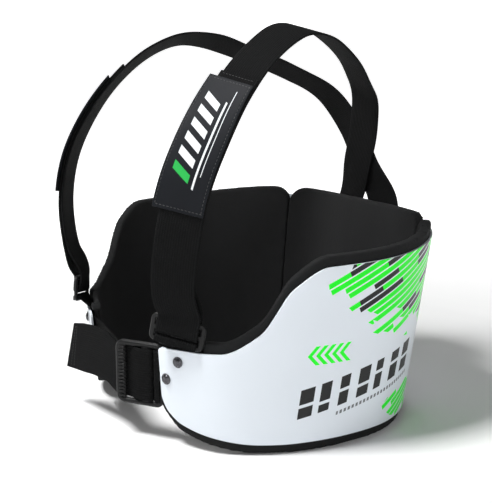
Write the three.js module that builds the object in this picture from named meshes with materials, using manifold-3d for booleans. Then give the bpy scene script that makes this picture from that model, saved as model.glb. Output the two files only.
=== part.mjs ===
// Rib protector for kart driving, at its real size in millimetres.
// +Z is up, the wearer faces -Y and the wearer's left is +X.
// The origin is on the floor, under the middle of the part.
//
// A stiff white shell, open at the front, holds three foam panels. A belt with a frame
// buckle closes the front, and two webbing straps cross behind the wearer's back.
// A place on the body's ring is a turn, a height and a stand-off. The turn is in degrees
// from the middle of the back, positive towards the wearer's left. The stand-off is
// measured outwards from the shell's outer face.

import * as THREE from "three";
import { mergeVertices } from "three/addons/utils/BufferGeometryUtils.js";
import Module from "manifold-3d";

const wasm = await Module();
wasm.setup();

// Body ring
const RING_HALF_WIDTH = 175; // side of the shell to the middle, at mid height
const RING_HALF_DEPTH = 143; // back of the shell to the middle, at mid height
const LINING_HEIGHT = 194; // foam, at the middle of the back
const MID_HEIGHT = 106; // where the ring's width and depth are measured
const FRONT_FLARE = 0.07; // outward lean of the wall, per mm of height
const SIDE_FLARE = 0.086;
const BACK_FLARE = 0.193;

// Walls and their ends
const SHELL_WALL = 2;
const LINING_WALL = 9.5;
const LINING_RIM = 9.6; // foam seen above and below the shell
const FIT_GAP = 0.3; // between pieces that touch
const WALL_GAP = 0.45; // between the shell and the foam, whose facets differ a little
const SHELL_END_TURN = 153.5;
const LINING_END_TURN = 154.6;
const SLIT_TURN = 37.9; // slits between the back and side panels
const SLIT_WIDTH = 1;
const SHELL_CORNER = 9;
const LINING_CORNER = 10;
const SLIT_CORNER = 19;

// Belt and its buckle
const WEBBING = 2; // thickness of all webbing
const SLOT_ROOM = 1.5; // past each edge of the webbing, in a buckle's or slider's slot
const BELT_WIDTH = 50;
const BELT_HEIGHT = 63; // middle of the belt above the floor
const BELT_TUCK_TURN = 147; // where the belt ends inside the body
const TAIL_END = 70; // free end's distance from the middle, towards the wearer's right
const TAIL_OUT = 158; // free end's distance in front of the middle
const TAIL_SLANT = 10; // half the slant of the free end
const BUCKLE_TURN = 31; // of the frame about the upright, in degrees
const BUCKLE_BAR_TURN = 155.355; // where the bar that the fixed tab holds lies on the ring
const BUCKLE_BAR_DEPTH = 5.016; // of that bar's middle behind the shell's outer face
const BUCKLE_LENGTH = 51;
const BUCKLE_HEIGHT = 62;
const BUCKLE_THICKNESS = 4;
const BUCKLE_BEVEL = 1.5;
const BUCKLE_CORNER = 9;
const BUCKLE_OUTER_BAR = 10; // the ribbed bar that holds the free end down
const BUCKLE_MIDDLE_BAR = 9; // the bar that the adjustable belt folds over
const BUCKLE_INNER_BAR = 7; // the bar that the fixed tab holds
const BUCKLE_INNER_SLOT = 7.5;
const BUCKLE_ROOM_TURN = 148.6; // the foam is cut away from here on for the buckle's end
const TAB_RETURN = 0.5; // sewn-back end of the fixed tab
const TAB_CLEARANCE = 1.5; // past the buckle's end, where the tab turns towards the shell
const TAIL_CLEARANCE = 1; // past the buckle's other end, where the free end turns outwards
const TAB_GUIDE_TURN = 149; // where the tab leaves the body
const BELT_GUIDE_TURNS = [149.5, 152, 155]; // the belt on its way out of the body

// Shoulder straps
const STRAP_WIDTH = 40;
const STRAP_TOP = 378; // top of the strap's arch above the floor
const STRAP_SPREAD = 114.5; // widest reach of a strap from the middle
const STRAP_REACH = 139; // furthest reach of a strap to the front
const STRAP_BACK_REACH = 157; // reach to the back, just above the crossing's foot
const STRAP_LAYER = 1.5; // each strap's shift off the other where they cross
const STRAP_RIM_LIFT = 1; // off the foam where a strap passes over the back panel's top
const STRAP_END_DROP = 66; // lower end on the back of the shell, below the foam's top
const STRAP_END_SHIFT = 44; // that end's distance from the middle
const STRAP_RIM_SHIFT = 25; // the same at the top of the back panel

// Fold of the strap through its slider, and the label patch
const FOLD_END = 0.352; // share of the strap's route where the folded-back layer ends
const PATCH_FROM_LEFT = 0.163;
const PATCH_FROM_RIGHT = 0.147;
const PATCH_REACH = 0.178; // share of the route that a patch covers
const PATCH_WIDTH = 46;
const PATCH_SHIFT = 3.5; // towards the middle of the chest
const PATCH_THICKNESS = 1.4;
const PATCH_GAP = 0.4; // over a strap that twists

// Sliders and their anchors
const SLIDER_TURN = 143.3;
const SLIDER_LIFT = 19; // slider's middle above the shell's edge
const SLIDER_WIDTH = 52;
const SLIDER_RISE = 26;
const SLIDER_BAR = 5;
const SLIDER_THICKNESS = 3;
const SLIDER_BEVEL = 1;
const SLIDER_CORNER = 6;
const SLIDER_ROLL = 11; // its rear end hangs lower, in degrees
const SLIDER_TWIST = 16; // turned off the body towards the side, in degrees
const SLIDER_CLEARANCE = 1.8; // further off the body, for that turn
const STRAP_START = 16; // straight stretch of the strap above its slider
const ANCHOR_LOW = 72; // lower end of the anchor webbing above the floor
const ANCHOR_RETURN = 3; // sewn-back end of the anchor
const ANCHOR_CLEARANCE = 1.5; // over the shell's edge, before the anchor turns outwards

// Rivets
const RIVET_HEAD_RADIUS = 5.2;
const RIVET_HEAD_RISE = 2.6;
const RIVET_SHANK_RADIUS = 2.2;
const UPPER_RIVET_TURN = 144.8;
const LOWER_RIVET_TURN = 150.4;
const UPPER_RIVET_RISE = 20.8; // above the middle of the belt
const LOWER_RIVET_RISE = 1.8;
const UPPER_STRAP_RIVET = 22; // above the strap's lower end
const LOWER_STRAP_RIVET = 8;
const STRAP_RIVET_LIFT = 0.4; // more room under the heads that hold the leaning strap ends

// Room cut into the foam and the curved parts' smoothness
const POCKET_CLEARANCE = 1.5; // past each edge of what a pocket takes
const POCKET_OVERRUN = 4; // past the foam's end, in degrees of turn
const STRAP_STEPS = 64;
const PATCH_STEPS = 20;
const FOLD_STEPS = 8;

// Colours
const WHITE = 0xf1f3f6;
const FOAM = 0x1d1c1e;
const WEB = 0x121213;
const PLASTIC = 0x1a1a1b;
const LABEL = 0x24272c;
const METAL = 0x4a4d52;

// Plan of the shell's outer face, as shares of the ring's half width and half depth.
const PLAN_ROWS = [
  { turn: 0, across: 0, back: 1.004 },
  { turn: 18, across: 0.278, back: 1.033 },
  { turn: 35, across: 0.571, back: 1.0 },
  { turn: 52, across: 0.82, back: 0.79 },
  { turn: 70, across: 0.977, back: 0.435 },
  { turn: 90, across: 0.994, back: 0 },
  { turn: 110, across: 0.917, back: -0.408 },
  { turn: 130, across: 0.732, back: -0.752 },
  { turn: 145, across: 0.519, back: -0.907 },
  { turn: 160, across: 0.293, back: -0.978 },
  { turn: 180, across: 0, back: -0.951 },
];

// Top and bottom edges of the foam, as shares of its height at the back.
const EDGE_ROWS = [
  { turn: 0, top: 1.0, bottom: 0 },
  { turn: 40, top: 0.991, bottom: 0 },
  { turn: 70, top: 0.958, bottom: 0 },
  { turn: 85, top: 0.949, bottom: 0 },
  { turn: 97, top: 0.947, bottom: 0 },
  { turn: 108, top: 0.857, bottom: 0 },
  { turn: 118, top: 0.639, bottom: 0.003 },
  { turn: 130, top: 0.546, bottom: 0.023 },
  { turn: 145, top: 0.54, bottom: 0.07 },
  { turn: 158, top: 0.53, bottom: 0.21 },
];

// Route of a shoulder strap between its slider and the top of the back panel, as shares
// of the strap's spread, reach and top. facing is the turn of its width about the
// upright, and drop is how far the outer edge hangs, both in degrees. Columns in square
// brackets hold the left and the right strap.
const STRAP_ROWS = [
  { across: 0.889, front: 0.991, height: [0.406, 0.406], facing: [42, 40], drop: [0, 0] },
  { across: 0.972, front: 0.999, height: [0.532, 0.532], facing: [45, 41], drop: [0, 0] },
  { across: 1.0, front: 0.93, height: [0.65, 0.65], facing: [43, 42], drop: [0, 0] },
  { across: 0.99, front: 0.786, height: [0.757, 0.755], facing: [42, 43], drop: [0, 0] },
  { across: 0.944, front: 0.587, height: [0.857, 0.851], facing: [33, 42], drop: [0, 2] },
  { across: 0.898, front: 0.343, height: [0.943, 0.924], facing: [27, 38], drop: [4, 10] },
  { across: 0.861, front: 0.076, height: [0.995, 0.961], facing: [20, 20], drop: [14, 20] },
  { across: 0.815, front: -0.168, height: [0.986, 0.956], facing: [-8, -20], drop: [5, 14] },
  { across: 0.704, front: -0.442, height: [0.939, 0.919], facing: [-17, -18], drop: [0, 4] },
];

// Route of the strap across the wearer's back, as shares of the spread, back reach and top.
const CROSS_ROWS = [
  { across: 0.5, back: 0.641, height: [0.872, 0.868], facing: [-19, -16], layer: 0 },
  { across: 0.287, back: 0.844, height: [0.803, 0.806], facing: [-9, -6], layer: 0.5 },
  { across: 0.111, back: 0.952, height: [0.713, 0.713], facing: [0, 0], layer: 1 },
  { across: -0.046, back: 1.0, height: [0.611, 0.611], facing: [0, 0], layer: 1 },
];

// How far the two layers of a folded strap stand apart along its route, in webbings.
const FOLD_ROWS = [
  { along: 0, inner: -1.4, outer: 1.4 },
  { along: 0.02, inner: -1.6, outer: 1.6 },
  { along: 0.038, inner: -2.0, outer: 2.1 },
  { along: 0.065, inner: -0.9, outer: 1.0 },
  { along: 0.09, inner: -0.6, outer: 0.65 },
  { along: 1, inner: -0.6, outer: 0.65 },
];

const radians = THREE.MathUtils.degToRad;
const upright = new THREE.Vector3(0, 0, 1);
const LEVELS = ["upper", "lower"];
const RIVET_TURNS = { upper: UPPER_RIVET_TURN, lower: LOWER_RIVET_TURN };
const RIVET_RISES = { upper: UPPER_RIVET_RISE, lower: LOWER_RIVET_RISE };
const STRAP_RIVET_RISES = { upper: UPPER_STRAP_RIVET, lower: LOWER_STRAP_RIVET };
const STRAP_END_HEIGHT = LINING_HEIGHT - STRAP_END_DROP;

// How far the belt's free end rides above the belt's own height, along its length.
const TAIL_ROWS = [
  { along: 0.1, rise: 3.5 },
  { along: 0.22, rise: 7 },
  { along: 0.4, rise: 7 },
  { along: 0.7, rise: 4.5 },
  { along: 1, rise: 1 },
];

// Smooth curve through the rows of a table that never overshoots them.
function smoothColumn(rows, key, column, at) {
  const last = rows.length - 1;
  const place = THREE.MathUtils.clamp(at, rows[0][key], rows[last][key]);
  const slope = (i) => (rows[i + 1][column] - rows[i][column]) / (rows[i + 1][key] - rows[i][key]);
  const tangent = (i) => {
    if (i === 0 || i === last) return slope(Math.min(i, last - 1));
    const before = slope(i - 1);
    const after = slope(i);
    return before * after <= 0 ? 0 : (2 * before * after) / (before + after);
  };
  const i = Math.min(rows.findLastIndex((row) => row[key] <= place), last - 1);
  const span = rows[i + 1][key] - rows[i][key];
  const s = (place - rows[i][key]) / span;
  const start = rows[i][column] * (1 + 2 * s) * (1 - s) ** 2 + tangent(i) * span * s * (1 - s) ** 2;
  const end = rows[i + 1][column] * s * s * (3 - 2 * s) + tangent(i + 1) * span * s * s * (s - 1);
  return start + end;
}

// Plan of the whole ring as one closed smooth curve, with the turn of each of its points.
const halfPlan = PLAN_ROWS.map((row) => ({
  turn: row.turn,
  point: new THREE.Vector3(row.across * RING_HALF_WIDTH, row.back * RING_HALF_DEPTH, 0),
}));
const otherPlan = halfPlan.slice(1, -1).reverse().map((row) => ({
  turn: 360 - row.turn,
  point: new THREE.Vector3(-row.point.x, row.point.y, 0),
}));
const planRows = [...halfPlan, ...otherPlan];
const planCurve = new THREE.CatmullRomCurve3(planRows.map((row) => row.point), true, "centripetal");

function planPlace(turn) {
  const full = ((turn % 360) + 360) % 360;
  const i = planRows.findLastIndex((row) => row.turn <= full);
  const next = i + 1 < planRows.length ? planRows[i + 1].turn : 360;
  return (i + (full - planRows[i].turn) / (next - planRows[i].turn)) / planRows.length;
}

function flareAt(turn) {
  const side = Math.abs(((turn + 180) % 360 + 360) % 360 - 180);
  if (side <= 90) return THREE.MathUtils.lerp(BACK_FLARE, SIDE_FLARE, side / 90);
  return THREE.MathUtils.lerp(SIDE_FLARE, FRONT_FLARE, (side - 90) / 90);
}

// The point, the sideways direction and the outward direction of a place on the ring.
function ringFrame(turn, height, standOff = 0) {
  const place = planPlace(turn);
  const along = planCurve.getTangent(place);
  const out = new THREE.Vector3(-along.y, along.x, 0).normalize();
  const shift = flareAt(turn) * (height - MID_HEIGHT) + standOff;
  const point = planCurve.getPoint(place).addScaledVector(out, shift);
  return { point: point.setZ(height), along, out };
}

const ringPoint = (turn, height, standOff) => ringFrame(turn, height, standOff).point;
const linerTop = (turn) => LINING_HEIGHT * smoothColumn(EDGE_ROWS, "turn", "top", Math.abs(turn));
const linerBottom = (turn) => LINING_HEIGHT * smoothColumn(EDGE_ROWS, "turn", "bottom", Math.abs(turn));
const shellTop = (turn) => linerTop(turn) - LINING_RIM;
const shellBottom = (turn) => linerBottom(turn) + LINING_RIM;

// How far a round corner cuts into an edge, at a distance from the end of the piece.
function cornerCut(distance, radius) {
  if (distance >= radius) return 0;
  return radius - Math.sqrt(Math.max(radius ** 2 - (radius - distance) ** 2, 0));
}

// One millimetre along the ring, in degrees of turn.
function turnPerMm(turn) {
  const step = 0.5;
  const before = ringPoint(turn - step, MID_HEIGHT, 0);
  return (2 * step) / before.distanceTo(ringPoint(turn + step, MID_HEIGHT, 0));
}

// A closed solid from rings of corner points, each ring in the same order.
function solidFromRings(rings) {
  const size = rings[0].length;
  const positions = rings.flat().flatMap((point) => point.toArray());
  const faces = [];
  for (let r = 0; r + 1 < rings.length; r++) {
    for (let c = 0; c < size; c++) {
      const a = r * size + c;
      const b = r * size + ((c + 1) % size);
      faces.push(a, b, b + size, a, b + size, a + size);
    }
  }
  const end = (rings.length - 1) * size;
  for (let c = 1; c + 1 < size; c++) {
    faces.push(0, c + 1, c, end, end + c, end + c + 1);
  }
  const geometry = new THREE.BufferGeometry();
  geometry.setAttribute("position", new THREE.Float32BufferAttribute(positions, 3));
  geometry.setIndex(faces);
  return outward(geometry);
}

// The same solid with its faces turned to point out.
function outward(geometry) {
  const position = geometry.getAttribute("position");
  const index = geometry.getIndex();
  const corner = (i) => new THREE.Vector3().fromBufferAttribute(position, index.getX(i));
  let volume = 0;
  for (let i = 0; i < index.count; i += 3) {
    volume += corner(i).dot(corner(i + 1).cross(corner(i + 2)));
  }
  if (volume < 0) {
    for (let i = 0; i < index.count; i += 3) {
      const keep = index.getX(i + 1);
      index.setX(i + 1, index.getX(i + 2));
      index.setX(i + 2, keep);
    }
  }
  return geometry;
}

// Turns that every wall shares, closer together at the fall of the top edge, so that
// walls which lie on each other have the same facets.
const SHARED_TURNS = Array.from({ length: 241 }, (_, k) => (k - 120) * 1.5).filter((turn) => {
  const fall = Math.abs(turn) > 92 && Math.abs(turn) < 132;
  return fall || turn % 3 === 0;
});

function wallTurns(from, to, corner) {
  const near = corner * turnPerMm(from);
  const far = corner * turnPerMm(to);
  const arc = [0, 0.03, 0.1, 0.2, 0.35, 0.55, 0.8, 1];
  const inner = SHARED_TURNS.filter((turn) => turn > from + near + 0.4 && turn < to - far - 0.4);
  const start = arc.map((share) => from + near * share);
  const end = arc.map((share) => to - far * share).reverse();
  return [...start, ...inner, ...end];
}

// A wall of even thickness that follows the ring between two turns.
function wallSolid({ from, to, outer, inner, top, bottom, corners }) {
  const rings = wallTurns(from, to, Math.max(...corners.start, ...corners.end)).map((turn) => {
    const startMm = (turn - from) / turnPerMm(from);
    const endMm = (to - turn) / turnPerMm(to);
    const cutTop = cornerCut(startMm, corners.start[0]) + cornerCut(endMm, corners.end[0]);
    const cutBottom = cornerCut(startMm, corners.start[1]) + cornerCut(endMm, corners.end[1]);
    const low = bottom(turn) + cutBottom;
    const high = top(turn) - cutTop;
    const outside = [low, high].map((height) => ringPoint(turn, height, outer));
    const inside = [high, low].map((height) => ringPoint(turn, height, inner));
    return [...outside, ...inside];
  });
  return solidFromRings(rings);
}

// A flexible band from frames, each with a point, a width direction and a face direction.
// A frame that hugs the ring bends across its width as well.
function bandSolid(frames, width, thickness, columns = 1) {
  const shares = Array.from({ length: columns + 1 }, (_, k) => k / columns - 0.5);
  const rings = frames.map(({ point, wide, face, hug }) => {
    const flat = (across) => ({ centre: point.clone().addScaledVector(wide, across), out: face });
    const at = hug ?? flat;
    const side = (share, sign) => {
      const { centre, out } = at(share * width);
      return centre.addScaledVector(out, (sign * thickness) / 2);
    };
    const back = shares.toReversed().map((share) => side(share, -1));
    return [...shares.map((share) => side(share, 1)), ...back];
  });
  return solidFromRings(rings);
}

// Boolean work on closed meshes.
function toManifold(geometry) {
  const bare = geometry.clone();
  bare.deleteAttribute("normal");
  bare.deleteAttribute("uv");
  const merged = mergeVertices(bare, 1e-4);
  const vertProperties = new Float32Array(merged.getAttribute("position").array);
  const triVerts = new Uint32Array(merged.getIndex().array);
  return new wasm.Manifold(new wasm.Mesh({ numProp: 3, vertProperties, triVerts }));
}

function cutAway(geometry, cutters) {
  const whole = toManifold(geometry);
  const cut = cutters.reduce((solid, cutter) => solid.subtract(toManifold(cutter)), whole);
  const { vertProperties, triVerts } = cut.getMesh();
  const result = new THREE.BufferGeometry();
  result.setAttribute("position", new THREE.BufferAttribute(vertProperties, 3));
  result.setIndex(new THREE.BufferAttribute(triVerts, 1));
  return result;
}

function mirrored(geometry) {
  const copy = geometry.clone().applyMatrix4(new THREE.Matrix4().makeScale(-1, 1, 1));
  return outward(copy.getIndex() ? copy : mergeVertices(copy));
}

function material(color, roughness, metalness = 0) {
  return new THREE.MeshStandardMaterial({ color, roughness, metalness });
}

const finishes = {
  shell: () => material(WHITE, 0.3),
  foam: () => material(FOAM, 0.9),
  webbing: () => material(WEB, 0.85),
  plastic: () => material(PLASTIC, 0.5),
  label: () => material(LABEL, 0.7),
  metal: () => material(METAL, 0.35, 0.9),
};

function piece(name, geometry, finish) {
  const mesh = new THREE.Mesh(geometry, finishes[finish]());
  mesh.name = name;
  return mesh;
}

// Stand-offs of what lies between the shell and the foam.
const innerFace = -SHELL_WALL;
const foamOuter = innerFace - WALL_GAP;
const foamInner = foamOuter - LINING_WALL;
const anchorLayer = innerFace - FIT_GAP - WEBBING / 2;
const beltLayer = anchorLayer - FIT_GAP - WEBBING;
const pocketFloor = beltLayer - WEBBING / 2 - FIT_GAP;

const boreRadius = RIVET_SHANK_RADIUS + FIT_GAP;

// A straight cutter that stands square on the ring at a turn and height.
function drill(turn, height, radius, from, to) {
  const { point, out } = ringFrame(turn, height, (from + to) / 2);
  const geometry = new THREE.CylinderGeometry(radius, radius, to - from, 12);
  const turned = new THREE.Quaternion().setFromUnitVectors(new THREE.Vector3(0, 1, 0), out);
  geometry.applyQuaternion(turned);
  return geometry.translate(point.x, point.y, point.z);
}

// A pocket in the foam's outer face, as a block that follows the ring.
function pocket({ from, to, low, high, floor = pocketFloor }) {
  return wallSolid({
    from,
    to,
    outer: foamOuter + LINING_RIM,
    inner: floor,
    top: () => high,
    bottom: () => low,
    corners: { start: [0, 0], end: [0, 0] },
  });
}

const strapEndTurn = 180 / Math.PI * Math.atan2(STRAP_END_SHIFT, RING_HALF_DEPTH);
const strapRimTurn = 180 / Math.PI * Math.atan2(STRAP_RIM_SHIFT, RING_HALF_DEPTH);
const rivetReach = pocketFloor + FIT_GAP;
const rivetSeat = 2 * FIT_GAP; // the flat head on the curved shell

const rivetHeight = (level) => BELT_HEIGHT + RIVET_RISES[level];

function rivetHoles(side) {
  return LEVELS.map((level) => (
    drill(side * RIVET_TURNS[level], rivetHeight(level), boreRadius, pocketFloor, 1)
  ));
}

function shellSolid() {
  const wall = wallSolid({
    from: -SHELL_END_TURN,
    to: SHELL_END_TURN,
    outer: 0,
    inner: innerFace,
    top: shellTop,
    bottom: shellBottom,
    corners: { start: [SHELL_CORNER / 2, SHELL_CORNER], end: [SHELL_CORNER / 2, SHELL_CORNER] },
  });
  const backHoles = [1, -1].flatMap((side) => LEVELS.map((level) => (
    drill(strapRivetTurn(side, level), strapRivetHeight(level), boreRadius, innerFace - 1, 1)
  )));
  return cutAway(wall, [...rivetHoles(1), ...rivetHoles(-1), ...backHoles]);
}

function sideLiningSolid() {
  const wall = wallSolid({
    from: SLIT_TURN + SLIT_WIDTH / 2 * turnPerMm(SLIT_TURN),
    to: LINING_END_TURN,
    outer: foamOuter,
    inner: foamInner,
    top: linerTop,
    bottom: linerBottom,
    corners: { start: [SLIT_CORNER, 0], end: [LINING_CORNER, LINING_CORNER] },
  });
  const half = BELT_WIDTH / 2 + POCKET_CLEARANCE;
  const room = BUCKLE_HEIGHT / 2 + POCKET_CLEARANCE;
  const anchorHalf = (STRAP_WIDTH / 2 + POCKET_CLEARANCE) * turnPerMm(SLIDER_TURN);
  const past = LINING_END_TURN + POCKET_OVERRUN;
  const beltPocket = pocket({
    from: BELT_TUCK_TURN - 1,
    to: past,
    low: BELT_HEIGHT - half,
    high: BELT_HEIGHT + half,
  });
  const buckleRoom = pocket({
    from: BUCKLE_ROOM_TURN,
    to: past,
    low: BELT_HEIGHT - room,
    high: BELT_HEIGHT + room,
    floor: foamInner - POCKET_CLEARANCE,
  });
  const anchorPocket = pocket({
    from: SLIDER_TURN - anchorHalf,
    to: SLIDER_TURN + anchorHalf,
    low: ANCHOR_LOW - POCKET_CLEARANCE,
    high: linerTop(SLIDER_TURN) + LINING_RIM,
  });
  return cutAway(wall, [beltPocket, buckleRoom, anchorPocket]);
}

function backLiningSolid() {
  const end = SLIT_TURN - SLIT_WIDTH / 2 * turnPerMm(SLIT_TURN);
  return wallSolid({
    from: -end,
    to: end,
    outer: foamOuter,
    inner: foamInner,
    top: linerTop,
    bottom: linerBottom,
    corners: { start: [SLIT_CORNER, 0], end: [SLIT_CORNER, 0] },
  });
}

// The strap's route, its frames along it and its fold through the slider.
const sliderRoom = FIT_GAP + WEBBING + FIT_GAP + SLIDER_CLEARANCE;
const sliderStandOff = foamOuter + sliderRoom + SLIDER_THICKNESS / 2;

// The slider stands on the body's edge, turned to the side. Its width runs outwards.
function sliderFrame() {
  const height = shellTop(SLIDER_TURN) + SLIDER_LIFT;
  const { point, along, out } = ringFrame(SLIDER_TURN, height, sliderStandOff);
  const face = out.applyAxisAngle(upright, radians(SLIDER_TWIST));
  const level = along.negate().applyAxisAngle(upright, radians(SLIDER_TWIST));
  const wide = level.applyAxisAngle(face, radians(-SLIDER_ROLL));
  return { point, wide, up: face.clone().cross(wide), face };
}

function strapRoute(side) {
  const strap = side > 0 ? 0 : 1;
  const foot = sliderFrame();
  const above = (rise) => foot.point.clone().addScaledVector(foot.up, rise);
  const points = [above(0), above(STRAP_START / 2), above(STRAP_START)];
  const wides = [foot.wide, foot.wide, foot.wide];
  const wideOf = (row) => {
    const facing = radians(row.facing[strap]);
    const drop = radians(row.drop ? row.drop[strap] : 0);
    return new THREE.Vector3(
      Math.cos(facing) * Math.cos(drop),
      Math.sin(facing) * Math.cos(drop),
      -Math.sin(drop),
    );
  };
  const through = (row, y) => {
    points.push(new THREE.Vector3(row.across * STRAP_SPREAD, y, row.height[strap] * STRAP_TOP));
    wides.push(wideOf(row));
  };
  STRAP_ROWS.forEach((row) => through(row, -row.front * STRAP_REACH));
  CROSS_ROWS.forEach((row) => {
    through(row, row.back * STRAP_BACK_REACH - side * row.layer * STRAP_LAYER);
  });
  const onBack = (turn, height, lift) => {
    const { point, along } = ringFrame(-turn, height, FIT_GAP + WEBBING / 2 + lift);
    points.push(point);
    wides.push(along.clone());
  };
  const rimHeight = linerTop(strapRimTurn);
  const rimLift = STRAP_RIM_LIFT + (side < 0 ? 2 * STRAP_LAYER : 0);
  onBack(strapRimTurn, rimHeight, rimLift);
  const middleTurn = (strapRimTurn + strapEndTurn) / 2;
  onBack(middleTurn, (rimHeight + STRAP_END_HEIGHT) / 2, STRAP_RIM_LIFT / 2);
  onBack(strapEndTurn, STRAP_END_HEIGHT, 0);
  return { curve: new THREE.CatmullRomCurve3(points, false, "centripetal"), wides };
}

function strapFrame(route, along) {
  const place = route.curve.getUtoTmapping(along);
  const point = route.curve.getPoint(place);
  const up = route.curve.getTangent(place);
  const last = route.wides.length - 1;
  const i = Math.min(Math.floor(place * last), last - 1);
  const wide = route.wides[i].clone().lerp(route.wides[i + 1], place * last - i);
  wide.addScaledVector(up, -wide.dot(up)).normalize();
  return { point, up, wide, face: wide.clone().cross(up) };
}

function shifted(frame, standOff) {
  return { ...frame, point: frame.point.clone().addScaledVector(frame.face, standOff) };
}

// The turn of a band round a bar, from the inner side to the outer side of the slider.
function foldFrames(frame, radius, down) {
  const frames = [];
  for (let k = 0; k <= FOLD_STEPS; k++) {
    const angle = (Math.PI * k) / FOLD_STEPS;
    const face = frame.face.clone().multiplyScalar(-Math.cos(angle));
    face.addScaledVector(frame.up, -down * Math.sin(angle));
    const point = frame.point.clone().addScaledVector(face, radius);
    frames.push({ point, wide: frame.wide, face });
  }
  return frames;
}

const strapFoldRadius = SLIDER_THICKNESS / 2 + FIT_GAP + WEBBING / 2;

function strapSolid(side) {
  const route = strapRoute(side);
  const foldSteps = Math.round(STRAP_STEPS * FOLD_END);
  const layerAt = (layer, along) => WEBBING * smoothColumn(FOLD_ROWS, "along", layer, along);
  const alongs = (count, end) => Array.from({ length: count + 1 }, (_, k) => (end * k) / count);
  const outer = alongs(foldSteps, FOLD_END).map((along) => (
    shifted(strapFrame(route, along), layerAt("outer", along))
  ));
  const inner = alongs(STRAP_STEPS, 1).map((along) => {
    const settle = THREE.MathUtils.smoothstep(along, FOLD_END, 0.8);
    return shifted(strapFrame(route, along), layerAt("inner", along) * (1 - settle));
  });
  const foot = sliderFrame();
  const bar = foot.point.clone().addScaledVector(foot.up, -(SLIDER_BAR / 2 - SLIDER_THICKNESS / 2));
  const fold = foldFrames({ ...foot, point: bar }, strapFoldRadius, 1).slice(1, -1);
  const innerLayer = inner.map(({ point, wide, face }) => ({ point, wide, face: face.clone().negate() }));
  return bandSolid([...innerLayer.reverse(), ...fold, ...outer], STRAP_WIDTH, WEBBING, 3);
}

function patchSolid(side) {
  const route = strapRoute(side);
  const start = side > 0 ? PATCH_FROM_LEFT : PATCH_FROM_RIGHT;
  const frames = Array.from({ length: PATCH_STEPS + 1 }, (_, k) => {
    const along = start + (PATCH_REACH * k) / PATCH_STEPS;
    const layer = WEBBING * smoothColumn(FOLD_ROWS, "along", "outer", along);
    const lift = layer + WEBBING / 2 + PATCH_GAP + PATCH_THICKNESS / 2;
    const frame = shifted(strapFrame(route, along), lift);
    frame.point.addScaledVector(frame.wide, -PATCH_SHIFT);
    return frame;
  });
  return bandSolid(frames, PATCH_WIDTH, PATCH_THICKNESS, 3);
}

function roundedOutline(width, height, radius) {
  const x = width / 2;
  const y = height / 2;
  const outline = new THREE.Shape();
  outline.absarc(x - radius, -y + radius, radius, -Math.PI / 2, 0);
  outline.absarc(x - radius, y - radius, radius, 0, Math.PI / 2);
  outline.absarc(-x + radius, y - radius, radius, Math.PI / 2, Math.PI);
  outline.absarc(-x + radius, -y + radius, radius, Math.PI, 1.5 * Math.PI);
  return outline;
}

function slot(left, right, low, high) {
  const hole = new THREE.Path();
  hole.moveTo(left, low);
  hole.lineTo(left, high);
  hole.lineTo(right, high);
  hole.lineTo(right, low);
  hole.closePath();
  return hole;
}

// A flat frame with bevelled edges, its thickness centred on its own plane.
function plateSolid(outline, thickness, bevel) {
  const geometry = new THREE.ExtrudeGeometry(outline, {
    depth: thickness - 2 * bevel,
    bevelEnabled: true,
    bevelThickness: bevel,
    bevelSize: bevel,
    bevelOffset: -bevel,
    bevelSegments: 1,
    curveSegments: 5,
  });
  geometry.deleteAttribute("normal");
  geometry.deleteAttribute("uv");
  return mergeVertices(geometry.translate(0, 0, bevel - thickness / 2), 1e-4);
}

function placed(geometry, { point, wide, up, face }) {
  const turned = new THREE.Matrix4().makeBasis(wide, up, face).setPosition(point);
  return geometry.applyMatrix4(turned);
}

function sliderSolid() {
  const outline = roundedOutline(SLIDER_WIDTH, SLIDER_RISE, SLIDER_CORNER);
  const wide = STRAP_WIDTH / 2 + SLOT_ROOM;
  const narrow = STRAP_WIDTH / 2 + SLOT_ROOM / 2;
  const low = SLIDER_BAR / 2;
  const high = SLIDER_RISE / 2 - SLIDER_BAR;
  outline.holes.push(slot(-wide, wide, low, high), slot(-narrow, narrow, -high, -low));
  return placed(plateSolid(outline, SLIDER_THICKNESS, SLIDER_BEVEL), sliderFrame());
}

// The webbing that ties a slider to the body: riveted behind the shell, looped over the
// slider's lower bar and sewn back on itself.
function anchorSolid() {
  const foot = sliderFrame();
  const barDrop = SLIDER_RISE / 2 - SLIDER_BAR / 2 - (SLIDER_BAR / 2 - SLIDER_THICKNESS / 2);
  const bar = { ...foot, point: foot.point.clone().addScaledVector(foot.up, -barDrop) };
  const loop = foldFrames(bar, strapFoldRadius, -1);
  const outerEnd = loop[loop.length - 1];
  const returnEnd = {
    ...outerEnd,
    point: outerEnd.point.clone().addScaledVector(foot.up, -ANCHOR_RETURN),
  };
  const shellEdge = shellTop(SLIDER_TURN);
  const levels = [ANCHOR_LOW, (ANCHOR_LOW + shellEdge) / 2, shellEdge + ANCHOR_CLEARANCE];
  const tucked = levels.map((height) => ({
    hug: (across) => {
      const turn = SLIDER_TURN - across * turnPerMm(SLIDER_TURN);
      const { point, out } = ringFrame(turn, height, anchorLayer);
      return { centre: point, out: out.negate() };
    },
  }));
  return cutAway(bandSolid([...tucked, ...loop, returnEnd], STRAP_WIDTH, WEBBING, 4), rivetHoles(1));
}

// The buckle's own frame: its width runs from the adjustable belt's bar to the tab's bar.
function buckleFrame() {
  const turn = radians(BUCKLE_TURN);
  const wide = new THREE.Vector3(Math.cos(turn), Math.sin(turn), 0);
  const bar = ringPoint(BUCKLE_BAR_TURN, BELT_HEIGHT, -BUCKLE_BAR_DEPTH);
  return {
    point: bar.addScaledVector(wide, -buckleInnerBar),
    wide,
    up: upright,
    face: new THREE.Vector3(Math.sin(turn), -Math.cos(turn), 0),
  };
}

// A place in plan on the buckle, along its width and out from its middle plane.
function onBuckle(along, out) {
  const { point, wide, face } = buckleFrame();
  return point.clone().addScaledVector(wide, along).addScaledVector(face, out);
}

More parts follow.
